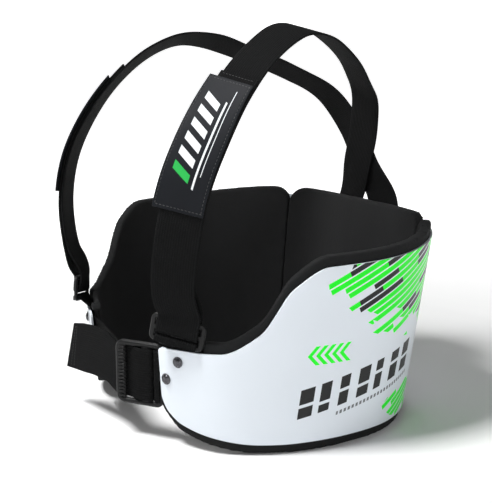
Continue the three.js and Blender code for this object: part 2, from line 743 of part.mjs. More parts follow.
const buckleHalf = BUCKLE_LENGTH / 2;
const buckleInnerBar = buckleHalf - BUCKLE_INNER_BAR / 2;
const buckleSlotLeft = -buckleHalf + BUCKLE_OUTER_BAR;
const buckleMiddleRight = buckleHalf - BUCKLE_INNER_BAR - BUCKLE_INNER_SLOT;
const buckleMiddleLeft = buckleMiddleRight - BUCKLE_MIDDLE_BAR;

function buckleSolid() {
  const outline = roundedOutline(BUCKLE_LENGTH, BUCKLE_HEIGHT, BUCKLE_CORNER);
  const wide = BELT_WIDTH / 2 + SLOT_ROOM;
  const narrow = BELT_WIDTH / 2 + SLOT_ROOM / 2;
  outline.holes.push(
    slot(buckleSlotLeft, buckleMiddleLeft, -wide, wide),
    slot(buckleMiddleRight, buckleHalf - BUCKLE_INNER_BAR, -narrow, narrow),
  );
  return placed(plateSolid(outline, BUCKLE_THICKNESS, BUCKLE_BEVEL), buckleFrame());
}

const beltFoldRadius = BUCKLE_THICKNESS / 2 + FIT_GAP + WEBBING / 2;

// A belt piece from its path in plan. Where the path leans, the belt's width leans too.
function beltSolid(path) {
  const frames = path.map(({ x, y, rise = 0, lean = upright }, i) => {
    const before = path[Math.max(i - 1, 0)];
    const after = path[Math.min(i + 1, path.length - 1)];
    const face = new THREE.Vector3(after.y - before.y, before.x - after.x, 0).normalize();
    return { point: new THREE.Vector3(x, y, BELT_HEIGHT + rise), wide: lean, face };
  });
  return bandSolid(frames, BELT_WIDTH, WEBBING);
}

// Half a turn in plan round a bar of the buckle, from the wearer's side outwards. reach is
// +1 to pass the bar's side towards the tab and -1 to pass its other side.
function barFold(barShift, barWidth, reach) {
  const centre = barShift + reach * (barWidth / 2 - BUCKLE_THICKNESS / 2);
  return Array.from({ length: FOLD_STEPS + 1 }, (_, k) => {
    const angle = (Math.PI * k) / FOLD_STEPS;
    const along = centre + reach * beltFoldRadius * Math.sin(angle);
    return onBuckle(along, -beltFoldRadius * Math.cos(angle));
  });
}

function ringPath(turns, standOff) {
  return turns.map((turn) => {
    const place = ringPoint(turn, BELT_HEIGHT, standOff);
    const lean = ringPoint(turn, BELT_HEIGHT + 1, standOff).sub(place);
    return { x: place.x, y: place.y, lean };
  });
}

// The fixed tab: tucked behind the shell, folded over the buckle's inner bar, sewn back.
function beltTabSolid() {
  const tuck = ringPath([BELT_TUCK_TURN, TAB_GUIDE_TURN], beltLayer);
  const behind = onBuckle(buckleHalf + TAB_CLEARANCE, -beltFoldRadius);
  const fold = barFold(buckleInnerBar, BUCKLE_INNER_BAR, -1);
  const end = onBuckle(buckleInnerBar + TAB_RETURN, beltFoldRadius);
  return cutAway(beltSolid([...tuck, behind, ...fold, end]), rivetHoles(1));
}

// The adjustable belt: tucked behind the shell on the other side, across the front, behind
// the buckle's outer bar, over its middle bar and out again under the outer bar.
function beltRightSolid() {
  const tuck = ringPath([BELT_TUCK_TURN, ...BELT_GUIDE_TURNS].map((turn) => -turn), beltLayer);
  const behind = [
    onBuckle(-buckleHalf + TAIL_CLEARANCE, -beltFoldRadius - WEBBING - FIT_GAP),
    onBuckle(buckleSlotLeft, -beltFoldRadius - WEBBING - FIT_GAP),
    onBuckle(buckleMiddleLeft, -beltFoldRadius),
  ];
  const fold = barFold(buckleMiddleLeft + BUCKLE_MIDDLE_BAR / 2, BUCKLE_MIDDLE_BAR, 1);
  const dive = Array.from({ length: FOLD_STEPS + 1 }, (_, k) => {
    const share = k / FOLD_STEPS;
    const along = THREE.MathUtils.lerp(buckleMiddleLeft, buckleSlotLeft, share);
    return onBuckle(along, beltFoldRadius * Math.cos(Math.PI * share));
  });
  const front = onBuckle(-buckleHalf - TAIL_CLEARANCE, -beltFoldRadius);
  const lean = new THREE.Vector3(TAIL_SLANT / (BELT_WIDTH / 2), 0, 1);
  const tail = TAIL_ROWS.map(({ along, rise }) => ({
    x: THREE.MathUtils.lerp(front.x, -TAIL_END, along),
    y: THREE.MathUtils.lerp(front.y, -TAIL_OUT, along),
    rise,
  }));
  tail[tail.length - 1].lean = lean;
  return cutAway(beltSolid([...tuck, ...behind, ...fold, ...dive, front, ...tail]), rivetHoles(-1));
}

function rivetSolid(turn, height, seat, reach) {
  const shank = seat - reach;
  const head = [0, 0.4, 0.75, 1].map((share) => new THREE.Vector2(
    RIVET_HEAD_RADIUS * Math.cos(share * Math.PI / 2),
    shank + RIVET_HEAD_RISE * (0.3 + 0.7 * Math.sin(share * Math.PI / 2)),
  ));
  const profile = [
    new THREE.Vector2(0, 0),
    new THREE.Vector2(RIVET_SHANK_RADIUS, 0),
    new THREE.Vector2(RIVET_SHANK_RADIUS, shank),
    new THREE.Vector2(RIVET_HEAD_RADIUS, shank),
    ...head.slice(0, -1),
    new THREE.Vector2(0, shank + RIVET_HEAD_RISE),
  ];
  const { point, out } = ringFrame(turn, height, reach);
  const turned = new THREE.Quaternion().setFromUnitVectors(new THREE.Vector3(0, 1, 0), out);
  const geometry = new THREE.LatheGeometry(profile, 12);
  geometry.deleteAttribute("normal");
  geometry.deleteAttribute("uv");
  geometry.applyQuaternion(turned).translate(point.x, point.y, point.z);
  return outward(mergeVertices(geometry, 1e-4));
}

// The strap's lower end on the back, and the rivets that hold it.
function strapRivetHeight(level) {
  return STRAP_END_HEIGHT + STRAP_RIVET_RISES[level];
}

function strapRivetTurn(side, level) {
  const rimHeight = linerTop(strapRimTurn);
  const share = STRAP_RIVET_RISES[level] / (rimHeight - STRAP_END_HEIGHT);
  return -side * THREE.MathUtils.lerp(strapEndTurn, strapRimTurn, share);
}

function strapWithHoles(side) {
  const holes = LEVELS.map((level) => {
    const turn = strapRivetTurn(1, level);
    return drill(turn, strapRivetHeight(level), boreRadius, innerFace, WEBBING * 2);
  });
  return cutAway(strapSolid(side), holes);
}

function shellRivet(level) {
  return rivetSolid(RIVET_TURNS[level], rivetHeight(level), rivetSeat, rivetReach);
}

function strapRivet(level) {
  const seat = FIT_GAP + WEBBING + rivetSeat + STRAP_RIM_LIFT / 2 + STRAP_RIVET_LIFT;
  const turn = strapRivetTurn(1, level);
  return rivetSolid(turn, strapRivetHeight(level), seat, innerFace + FIT_GAP);
}

function buildPart() {
  const part = new THREE.Group();
  const add = (name, geometry, finish) => part.add(piece(name, geometry, finish));
  const both = (name, make, finish) => {
    add(`${name}_left`, make(1), finish);
    add(`${name}_right`, mirrored(make(-1)), finish);
  };
  add("shell", shellSolid(), "shell");
  add("lining_back", backLiningSolid(), "foam");
  both("lining", sideLiningSolid, "foam");
  both("shoulder_strap", strapWithHoles, "webbing");
  both("strap_patch", patchSolid, "label");
  both("slider", sliderSolid, "plastic");
  both("slider_anchor", anchorSolid, "webbing");
  add("belt_tab_left", beltTabSolid(), "webbing");
  add("belt_right", beltRightSolid(), "webbing");
  add("buckle_frame", buckleSolid(), "plastic");
  for (const level of LEVELS) {
    both(`shell_rivet_${level}`, () => shellRivet(level), "metal");
    both(`strap_rivet_${level}`, () => strapRivet(level), "metal");
  }
  const box = new THREE.Box3().setFromObject(part, true);
  const centre = box.getCenter(new THREE.Vector3());
  part.position.set(-centre.x, -centre.y, -box.min.z);
  return part;
}

export default buildPart();
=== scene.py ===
"""Rib protector for kart driving, dressed around its packed solids.

Lengths are in millimetres on the body's own ring and turn to metres when a mesh is made.
"""

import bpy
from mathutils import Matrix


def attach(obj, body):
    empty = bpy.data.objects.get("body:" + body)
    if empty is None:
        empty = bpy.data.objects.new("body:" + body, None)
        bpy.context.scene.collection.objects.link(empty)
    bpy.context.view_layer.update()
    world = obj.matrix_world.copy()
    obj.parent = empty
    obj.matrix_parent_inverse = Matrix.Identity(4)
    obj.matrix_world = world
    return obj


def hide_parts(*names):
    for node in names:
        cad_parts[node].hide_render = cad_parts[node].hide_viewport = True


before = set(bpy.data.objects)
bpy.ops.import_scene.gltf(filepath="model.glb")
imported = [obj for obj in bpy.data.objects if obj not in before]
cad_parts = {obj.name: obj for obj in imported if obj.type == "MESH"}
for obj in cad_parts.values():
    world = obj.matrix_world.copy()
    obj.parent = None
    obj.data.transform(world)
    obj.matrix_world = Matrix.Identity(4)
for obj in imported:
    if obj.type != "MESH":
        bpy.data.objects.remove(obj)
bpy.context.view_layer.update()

import logging
import math
from collections.abc import Callable, Iterable, Sequence
from dataclasses import dataclass, field
from enum import Enum

import bpy
from mathutils import Matrix, Quaternion, Vector

log = logging.getLogger("rib_protector")

MM = 0.001
PART_SHIFT = Vector((0.0, -6.009, 0.0))  # the packed part's middle, off the ring's own
UP = Vector((0.0, 0.0, 1.0))
WEB = 2.0  # thickness of all the webbing
GAP = 0.3  # clearance between the webbing and a bar that it turns round
SLIDER_BAR = 5.0  # breadth of a slider's bar
SLIDER_THICK = 3.0
TURN_STEPS = 12  # steps of half a turn round a bar
THREAD_LIFT = 0.05  # how far a seam's line stands off the cloth
HEM_INSET = 3.0  # from the end of a seam across a band to the band's edge
MAP = "UVMap"

Pair = tuple[float, float]
Colour = tuple[float, float, float, float]
Patch = tuple[Pair, Pair, float, float]
Cell = tuple[Vector, Pair]
FrontRow = tuple[float, float, Pair, Pair, Pair]
CrossRow = tuple[float, float, Pair, Pair, float]


class Side(Enum):
    """The wearer's side that a piece sits on."""

    LEFT = 1
    RIGHT = -1

    @property
    def tag(self) -> str:
        """The side's name as the packed nodes spell it."""
        return self.name.lower()


# Curves and frames


def smooth_column(keys: Sequence[float], values: Sequence[float], at: float) -> float:
    """Reads a table along a smooth curve that never overshoots its rows.

    Args:
        keys: The rows' places, rising.
        values: The rows' values.
        at: The place to read.

    Returns:
        The value there.
    """
    last = len(keys) - 1
    place = min(max(at, keys[0]), keys[last])
    i = min(max(k for k in range(last + 1) if keys[k] <= place), last - 1)

    def slope(k: int) -> float:
        """Slope of the stretch after a row."""
        return (values[k + 1] - values[k]) / (keys[k + 1] - keys[k])

    def tangent(k: int) -> float:
        """Slope of the curve at a row.

        Args:
            k: The row's number.

        Returns:
            The slope.
        """
        if k in (0, last):
            return slope(min(k, last - 1))
        before, after = slope(k - 1), slope(k)
        return 0.0 if before * after <= 0 else 2 * before * after / (before + after)

    span = keys[i + 1] - keys[i]
    s = (place - keys[i]) / span
    start = values[i] * (1 + 2 * s) * (1 - s) ** 2 + tangent(i) * span * s * (1 - s) ** 2
    end = values[i + 1] * s * s * (3 - 2 * s) + tangent(i + 1) * span * s * s * (s - 1)
    return start + end


def lerp(a: float, b: float, share: float) -> float:
    """The value between two others at a share of the way."""
    return a + (b - a) * share


class Spline:
    """A centripetal curve through points, open or closed."""

    SAMPLES = 900

    def __init__(self, points: Sequence[Vector], closed: bool = False) -> None:
        """Keeps the points and measures the curve's length.

        Args:
            points: The points that the curve passes through.
            closed: Whether it returns to its start.
        """
        self.points = list(points)
        self.closed = closed
        self.lengths = [0.0]
        before = self.at(0.0)
        for k in range(1, self.SAMPLES + 1):
            here = self.at(k / self.SAMPLES)
            self.lengths.append(self.lengths[-1] + (here - before).length)
            before = here

    def _corner(self, i: int) -> Vector:
        """A point by its number, past the ends as well.

        Args:
            i: The point's number.

        Returns:
            The point.
        """
        count = len(self.points)
        if self.closed:
            return self.points[i % count]
        if i < 0:
            return 2 * self.points[0] - self.points[1]
        if i >= count:
            return 2 * self.points[-1] - self.points[-2]
        return self.points[i]

    def at(self, place: float) -> Vector:
        """The point at a place between 0 and 1, counted evenly by points.

        Args:
            place: The place.

        Returns:
            The point.
        """
        spans = len(self.points) if self.closed else len(self.points) - 1
        whole = place * spans
        i = math.floor(whole)
        if not self.closed:
            i = min(max(i, 0), spans - 1)
        t = whole - i
        a, b, c, d = (self._corner(i + k) for k in (-1, 0, 1, 2))
        gaps = [max((q - p).length_squared ** 0.25, 1e-4) for p, q in ((a, b), (b, c), (c, d))]
        first = ((b - a) / gaps[0] - (c - a) / (gaps[0] + gaps[1]) + (c - b) / gaps[1]) * gaps[1]
        second = ((c - b) / gaps[1] - (d - b) / (gaps[1] + gaps[2]) + (d - c) / gaps[2]) * gaps[1]
        square = 3 * (c - b) - 2 * first - second
        cube = 2 * (b - c) + first + second
        return b + first * t + square * t * t + cube * t ** 3

    def tangent(self, place: float) -> Vector:
        """The curve's direction at a place.

        Args:
            place: The place.

        Returns:
            The direction, of unit length.
        """
        step = 1e-4
        low, high = place - step, place + step
        if not self.closed:
            low, high = max(low, 0.0), min(high, 1.0)
        return (self.at(high) - self.at(low)).normalized()

    def place_of(self, share: float) -> float:
        """The place that lies at a share of the curve's length.

        Args:
            share: The share of the length.

        Returns:
            The place.
        """
        want = share * self.lengths[-1]
        low, high = 0, self.SAMPLES
        while high - low > 1:
            middle = (low + high) // 2
            low, high = (middle, high) if self.lengths[middle] <= want else (low, middle)
        span = self.lengths[high] - self.lengths[low]
        return (low + (want - self.lengths[low]) / max(span, 1e-9)) / self.SAMPLES


@dataclass
class Frame:
    """A place on a band: its middle, its width direction and the direction it faces."""

    point: Vector
    wide: Vector
    face: Vector
    up: Vector = field(default_factory=lambda: UP.copy())
    hug: Callable[[float], tuple[Vector, Vector]] | None = None

    def off(self, stand_off: float) -> "Frame":
        """The same frame, moved along its face."""
        return Frame(self.point + self.face * stand_off, self.wide, self.face, self.up)


# The body's ring


@dataclass(frozen=True)
class Ring:
    """The body's ring: its plan, its lean and the heights of its edges."""

    half_width: float = 175.0
    half_depth: float = 143.0
    lining_height: float = 194.0
    lining_rim: float = 9.6
    mid_height: float = 106.0
    front_flare: float = 0.07
    side_flare: float = 0.086
    back_flare: float = 0.193
    turns: tuple[float, ...] = (0, 18, 35, 52, 70, 90, 110, 130, 145, 160, 180)
    across: tuple[float, ...] = (
        0, 0.278, 0.571, 0.82, 0.977, 0.994, 0.917, 0.732, 0.519, 0.293, 0)
    back: tuple[float, ...] = (
        1.004, 1.033, 1.0, 0.79, 0.435, 0, -0.408, -0.752, -0.907, -0.978, -0.951)
    edge_turns: tuple[float, ...] = (0, 40, 70, 85, 97, 108, 118, 130, 145, 158)
    edge_top: tuple[float, ...] = (
        1.0, 0.991, 0.958, 0.949, 0.947, 0.857, 0.639, 0.546, 0.54, 0.53)
    edge_bottom: tuple[float, ...] = (0, 0, 0, 0, 0, 0, 0.003, 0.023, 0.07, 0.21)

    @property
    def plan(self) -> Spline:
        """The closed plan curve, made once."""
        return _plan_of(self)

    def _rows(self) -> list[tuple[float, Vector]]:
        """Turn and point of each row, right round.

        Returns:
            The rows.
        """
        half = [
            (t, Vector((a * self.half_width, b * self.half_depth, 0.0)))
            for t, a, b in zip(self.turns, self.across, self.back)
        ]
        other = [(360 - t, Vector((-p.x, p.y, 0.0))) for t, p in reversed(half[1:-1])]
        return half + other

    def _place(self, turn: float) -> float:
        """Where a turn lies on the plan curve.

        Args:
            turn: The turn, in degrees.

        Returns:
            The place.
        """
        full = turn % 360
        turns = [t for t, _ in self._rows()]
        i = max(k for k, t in enumerate(turns) if t <= full)
        after = turns[i + 1] if i + 1 < len(turns) else 360.0
        return (i + (full - turns[i]) / (after - turns[i])) / len(turns)

    def _flare(self, turn: float) -> float:
        """Outward lean of the wall at a turn.

        Args:
            turn: The turn, in degrees.

        Returns:
            The lean, as distance out for distance up.
        """
        side = abs((turn + 180) % 360 - 180)
        if side <= 90:
            return lerp(self.back_flare, self.side_flare, side / 90)
        return lerp(self.side_flare, self.front_flare, (side - 90) / 90)

    def frame(self, turn: float, height: float, stand_off: float = 0.0) -> Frame:
        """A place on the ring.

        Args:
            turn: Degrees from the middle of the back, positive to the wearer's left.
            height: Height above the floor.
            stand_off: Distance outwards from the shell's outer face.

        Returns:
            Its point, with the way along the ring as wide and the way out as face.
        """
        place = self._place(turn)
        along = self.plan.tangent(place)
        out = Vector((-along.y, along.x, 0.0)).normalized()
        reach = self._flare(turn) * (height - self.mid_height) + stand_off
        point = self.plan.at(place) + out * reach
        point.z = height
        return Frame(point, along, out)

    def point(self, turn: float, height: float, stand_off: float = 0.0) -> Vector:
        """The point of a place on the ring."""
        return self.frame(turn, height, stand_off).point

    def foam_top(self, turn: float) -> float:
        """Height of the foam's top edge at a turn."""
        return self.lining_height * smooth_column(self.edge_turns, self.edge_top, abs(turn))

    def foam_bottom(self, turn: float) -> float:
        """Height of the foam's lower edge at a turn."""
        return self.lining_height * smooth_column(self.edge_turns, self.edge_bottom, abs(turn))

    def turn_per_mm(self, turn: float) -> float:
        """Degrees of turn for one millimetre along the ring.

        Args:
            turn: The turn where it is measured.

        Returns:
            The degrees.
        """
        step = 0.5
        chord = self.point(turn - step, self.mid_height) - self.point(turn + step, self.mid_height)
        return 2 * step / chord.length


_PLANS: dict[Ring, Spline] = {}


def _plan_of(ring: Ring) -> Spline:
    """The plan curve of a ring, kept for the next call.

    Args:
        ring: The ring.

    Returns:
        Its plan curve.
    """
    if ring not in _PLANS:
        _PLANS[ring] = Spline([point for _, point in ring._rows()], closed=True)
    return _PLANS[ring]


RING = Ring()


# Modelling steps


def deselect() -> None:
    """Takes everything out of the selection."""
    bpy.ops.object.select_all(action="DESELECT")


def activate(piece: bpy.types.Object) -> None:
    """Makes a piece the only one that operators act on.

    Args:
        piece: The piece.
    """
    deselect()
    piece.select_set(True)
    bpy.context.view_layer.objects.active = piece


def finish_modifier(piece: bpy.types.Object, kind: str, **settings: object) -> None:
    """Adds a modifier to a piece and applies it.

    Args:
        piece: The piece.
        kind: The modifier's type.
        **settings: Its settings.
    """
    modifier = piece.modifiers.new(kind.title(), kind)
    for name, value in settings.items():
        setattr(modifier, name, value)
    activate(piece)
    bpy.ops.object.modifier_apply(modifier=modifier.name)


def soften(piece: bpy.types.Object, width: float, segments: int = 2, angle: float = 50) -> None:
    """Rounds a piece's sharp edges.

    Args:
        piece: The piece.
        width: Width of the rounding, in millimetres.
        segments: Steps across it.
        angle: Edges sharper than this, in degrees, are rounded.
    """
    finish_modifier(
        piece, "BEVEL", width=width * MM, segments=segments, limit_method="ANGLE",
        angle_limit=math.radians(angle), harden_normals=False,
    )


def shade(piece: bpy.types.Object, angle: float = 40) -> None:
    """Shades a piece smoothly across edges that are less sharp than an angle."""
    activate(piece)
    bpy.ops.object.shade_smooth_by_angle(angle=math.radians(angle))


def face_outwards(piece: bpy.types.Object) -> None:
    """Merges a piece's doubles and turns its faces outwards.

    Args:
        piece: The piece.
    """
    activate(piece)
    bpy.ops.object.mode_set(mode="EDIT")
    bpy.ops.mesh.select_all(action="SELECT")
    bpy.ops.mesh.remove_doubles(threshold=1e-6)
    bpy.ops.mesh.normals_make_consistent(inside=False)
    bpy.ops.object.mode_set(mode="OBJECT")


def join(pieces: Sequence[bpy.types.Object], name: str) -> bpy.types.Object:
    """Makes several pieces one.

    Args:
        pieces: The pieces.
        name: The name of the joined piece.

    Returns:
        The joined piece.
    """
    deselect()
    for piece in pieces:
        piece.select_set(True)
    bpy.context.view_layer.objects.active = pieces[0]
    if len(pieces) > 1:
        bpy.ops.object.join()
    joined = bpy.context.view_layer.objects.active
    joined.name = name
    joined.data.name = name
    return joined


def linked(thing: bpy.types.Object) -> bpy.types.Object:
    """Puts an object into the scene."""
    bpy.context.scene.collection.objects.link(thing)
    return thing


def twin(source: bpy.types.Object) -> bpy.types.Object:
    """A copy of a piece, with a mesh of its own.

    Args:
        source: The piece to copy.

    Returns:
        The copy, in the scene.
    """
    piece = source.copy()
    piece.data = source.data.copy()
    return linked(piece)


def smooth_all(piece: bpy.types.Object) -> None:
    """Shades every face of a piece smoothly."""
    for polygon in piece.data.polygons:
        polygon.use_smooth = True


def copy_of(node: str, name: str) -> bpy.types.Object:
    """A copy of a packed node with its loose triangles merged.

    Args:
        node: The packed node.
        name: The copy's name.

    Returns:
        The copy, which rides on nothing yet.
    """
    piece = twin(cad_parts[node])
    piece.data.materials.clear()
    piece.parent = None
    piece.name = name
    piece.data.name = name
    for key in [k for k in piece.keys() if k.startswith("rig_")]:
        del piece[key]
    activate(piece)
    bpy.ops.object.mode_set(mode="EDIT")
    bpy.ops.mesh.select_all(action="SELECT")
    bpy.ops.mesh.remove_doubles(threshold=1e-6)
    bpy.ops.object.mode_set(mode="OBJECT")
    return piece


def sheet_of(name: str, rows: Sequence[Sequence[Cell]]) -> bpy.types.Object:
    """A grid laid through points, with a map in metres.

    Args:
        name: The piece's name.
        rows: For each row, the point and the map place, in millimetres, of each column.

    Returns:
        The open sheet.
    """
    down, over = len(rows) - 1, len(rows[0]) - 1
    deselect()
    bpy.ops.mesh.primitive_grid_add(x_subdivisions=over, y_subdivisions=down, size=2, calc_uvs=True)
    piece = bpy.context.active_object
    piece.name = name
    mesh = piece.data
    mesh.name = name
    spot = [
        (round((v.co.y + 1) / 2 * down), round((v.co.x + 1) / 2 * over)) for v in mesh.vertices
    ]
    for vertex, (r, c) in zip(mesh.vertices, spot):
        vertex.co = (rows[r][c][0] + PART_SHIFT) * MM
    uv = mesh.uv_layers.active.data
    for loop in mesh.loops:
        r, c = spot[loop.vertex_index]
        uv[loop.index].uv = (rows[r][c][1][0] * MM, rows[r][c][1][1] * MM)
    return piece


def thicken(piece: bpy.types.Object, thickness: float, even: bool = True) -> None:
    """Gives a sheet its thickness, half to each side.

    Args:
        piece: The sheet.
        thickness: The thickness.
        even: Whether it is kept even where the sheet bends.
    """
    finish_modifier(
        piece, "SOLIDIFY", thickness=thickness * MM, offset=0.0, use_even_offset=even)
    face_outwards(piece)


def band(
    name: str, frames: Sequence[Frame], width: float, thickness: float,
    columns: int = 8, edge: float = 0.45,
) -> bpy.types.Object:
    """A flexible band that follows frames.

    Args:
        name: The piece's name.
        frames: The places along its middle.
        width: Its width.
        thickness: Its thickness.
        columns: Faces across its width.
        edge: Rounding of its edges.

    Returns:
        The closed band, mapped across and along.
    """
    rows = []
    run = 0.0
    for k, here in enumerate(frames):
        if k:
            run += (here.point - frames[k - 1].point).length
        row = []
        for c in range(columns + 1):
            across = (c / columns - 0.5) * width
            place = here.hug(across)[0] if here.hug else here.point + here.wide * across
            row.append((place, (across, run)))
        rows.append(row)
    piece = sheet_of(name, rows)
    thicken(piece, thickness)
    soften(piece, edge, 2, 60)
    shade(piece, 45)
    return piece


def on_side(piece: bpy.types.Object, side: Side) -> bpy.types.Object:
    """Leaves a piece on the wearer's left, where it was made, or mirrors it to the right.

    Args:
        piece: The piece.
        side: The side that it belongs to.

    Returns:
        The piece.
    """
    if side is Side.RIGHT:
        piece.data.transform(Matrix.Scale(-1, 4, (1, 0, 0)))
        face_outwards(piece)
    return piece


def settle(
    piece: bpy.types.Object, look: bpy.types.Material | Sequence[bpy.types.Material],
    slot: str, *nodes: str,
) -> bpy.types.Object:
    """Dresses a finished piece and ties it to the packed part.

    Args:
        piece: The piece.
        look: Its material or materials.
        slot: The record's slot of its finish.
        *nodes: The packed nodes that it stands for.

    Returns:
        The piece.
    """
    looks = [look] if isinstance(look, bpy.types.Material) else list(look)
    indices = [p.material_index for p in piece.data.polygons]
    piece.data.materials.clear()
    for material in looks:
        piece.data.materials.append(material)
    for polygon, index in zip(piece.data.polygons, indices):
        polygon.material_index = min(index, len(looks) - 1)
    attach(piece, "root")
    if nodes:
        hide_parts(*nodes)
    log.info(
        "%s: %d faces, stands for %s", piece.name, len(piece.data.polygons), nodes or "no node")
    return piece


def matrix_of(point: Vector, x: Vector, y: Vector, z: Vector) -> Matrix:
    """The matrix that lays a model's axes along three directions at a point in millimetres.

    Args:
        point: The point.
        x: The direction of the model's X.
        y: The direction of its Y.
        z: The direction of its Z.

    Returns:
        The matrix, in metres.
    """
    place = (point + PART_SHIFT) * MM
    return Matrix((
        (x.x, y.x, z.x, place.x), (x.y, y.y, z.y, place.y), (x.z, y.z, z.z, place.z), (0, 0, 0, 1)))


# Finishes


def _math(operation: str, meaning: str, swapped: bool = False) -> Callable[..., "Wire"]:
    """Makes a method that puts a wire through a Math node.

    Args:
        operation: The node's operation.
        meaning: The method's docstring.
        swapped: Whether the wire comes after the other values.

    Returns:
        The method.
    """
    def method(self: "Wire", *others: object) -> "Wire":
        """The node's result for the wire and the other values."""
        values = (*others, self) if swapped else (self, *others)
        made = self.recipe.node(
            "ShaderNodeMath", {"operation": operation}, dict(enumerate(values)))
        return Wire(self.recipe, made.outputs[0])

    method.__doc__ = meaning
    return method


class Wire:
    """A node socket that takes part in Python sums."""

    def __init__(self, recipe: "Recipe", socket: bpy.types.NodeSocket) -> None:
        """Keeps the socket and the recipe that it belongs to."""
        self.recipe = recipe
        self.socket = socket

    __add__ = __radd__ = _math("ADD", "This plus another.")
    __sub__ = _math("SUBTRACT", "This less another.")
    __rsub__ = _math("SUBTRACT", "Another less this.", swapped=True)
    __mul__ = __rmul__ = _math("MULTIPLY", "This times another.")
    __truediv__ = _math("DIVIDE", "This by another.")
    __lt__ = _math("LESS_THAN", "1 where this is under another.")
    __gt__ = _math("GREATER_THAN", "1 where this is over another.")
    sine = _math("SINE", "The sine of this.")
    floor = _math("FLOOR", "The whole part of this.")
    share = _math("FRACT", "The part of this after its whole number.")
    size = _math("ABSOLUTE", "This without its sign.")
    power = _math("POWER", "This to a power.")
    at_most = _math("MINIMUM", "The lesser of this and another.")
    at_least = _math("MAXIMUM", "The greater of this and another.")

    def between(self, low: float, high: float) -> "Wire":
        """1 where this lies between two values."""
        return (self > low) * (self < high)


class Recipe:
    """A material made of nodes."""

    def __init__(self, name: str) -> None:
        """Starts an empty material.

        Args:
            name: The material's name.
        """
        self.material = bpy.data.materials.new(name)
        self.material.use_nodes = True
        self.tree = self.material.node_tree
        self.tree.nodes.clear()

    def node(
        self, kind: str, settings: dict[str, object] | None = None,
        inputs: dict[str | int, object] | None = None,
    ) -> bpy.types.Node:
        """Adds a node.

        Args:
            kind: The node's type.
            settings: Its settings, set first.
            inputs: Values or wires of its sockets, by name or number.

        Returns:
            The node.
        """
        made = self.tree.nodes.new(kind)
        for name, value in (settings or {}).items():
            setattr(made, name, value)
        for name, value in (inputs or {}).items():
            if isinstance(value, Wire):
                self.tree.links.new(value.socket, made.inputs[name])
            else:
                made.inputs[name].default_value = value
        return made

    def wire(self, node: bpy.types.Node, output: str | int = 0) -> Wire:
        """A node's output as a wire."""
        return Wire(self, node.outputs[output])

    def parts(self, vector: Wire) -> tuple[Wire, Wire, Wire]:
        """The three numbers of a vector."""
        made = self.node("ShaderNodeSeparateXYZ", None, {0: vector})
        return self.wire(made, 0), self.wire(made, 1), self.wire(made, 2)

    def vector(self, x: object, y: object, z: object = 0.0) -> Wire:
        """A vector of three numbers."""
        return self.wire(self.node("ShaderNodeCombineXYZ", None, {0: x, 1: y, 2: z}))

    def places(self) -> Wire:
        """The places on the piece, in metres."""
        return self.wire(self.node("ShaderNodeTexCoord"), "Object")

    def map_places(self) -> tuple[Wire, Wire]:
        """The two numbers of the places on the piece's own map, in millimetres."""
        x, y, _ = self.parts(self.wire(self.node("ShaderNodeUVMap", {"uv_map": MAP})))
        return x * (1 / MM), y * (1 / MM)

    def noise(self, places: Wire, scale: float, detail: float = 2.0, rough: float = 0.5) -> Wire:
        """Soft noise between 0 and 1.

        Args:
            places: Where it is read.
            scale: How fine it is.
            detail: How many finer layers it has.
            rough: How strong the finer layers are.

        Returns:
            The noise.
        """
        return self.wire(self.node(
            "ShaderNodeTexNoise", None,
            {"Vector": places, "Scale": scale, "Detail": detail, "Roughness": rough}))

    def dice(self, places: Wire) -> Wire:
        """A number between 0 and 1 that is the same all over a cell."""
        return self.wire(self.node(
            "ShaderNodeTexWhiteNoise", {"noise_dimensions": "2D"}, {"Vector": places}))

    def blend(self, factor: object, first: object, second: object) -> Wire:
        """A colour between two others.

        Args:
            factor: The share of the second colour.
            first: The first colour.
            second: The second colour.

        Returns:
            The colour.
        """
        made = self.node(
            "ShaderNodeMix", {"data_type": "RGBA"}, {0: factor, 6: first, 7: second})
        return self.wire(made, 2)

    def bump(self, height: Wire, distance: float, strength: float = 1.0) -> Wire:
        """A normal from a height, whose full range is a distance in metres."""
        return self.wire(self.node(
            "ShaderNodeBump", None, {"Strength": strength, "Distance": distance, "Height": height}))

    def surface(self, **sockets: object) -> bpy.types.Material:
        """Ends the recipe with a surface.

        Args:
            **sockets: The shader's sockets, with underscores for spaces.

        Returns:
            The material.
        """
        values = {name.replace("_", " "): value for name, value in sockets.items()}
        shader = self.node("ShaderNodeBsdfPrincipled", None, values)
        out = self.node("ShaderNodeOutputMaterial")
        self.tree.links.new(shader.outputs[0], out.inputs["Surface"])
        return self.material


def grey(level: float, tint: float = 0.0) -> Colour:
    """A grey, a little bluer where tint is positive."""
    return (level * (1 - tint), level, level * (1 + tint), 1.0)


def scaled(colour: Colour, factor: float) -> Colour:
    """The colour made brighter or darker by a factor."""
    return tuple(factor * part for part in colour[:3]) + (1.0,)


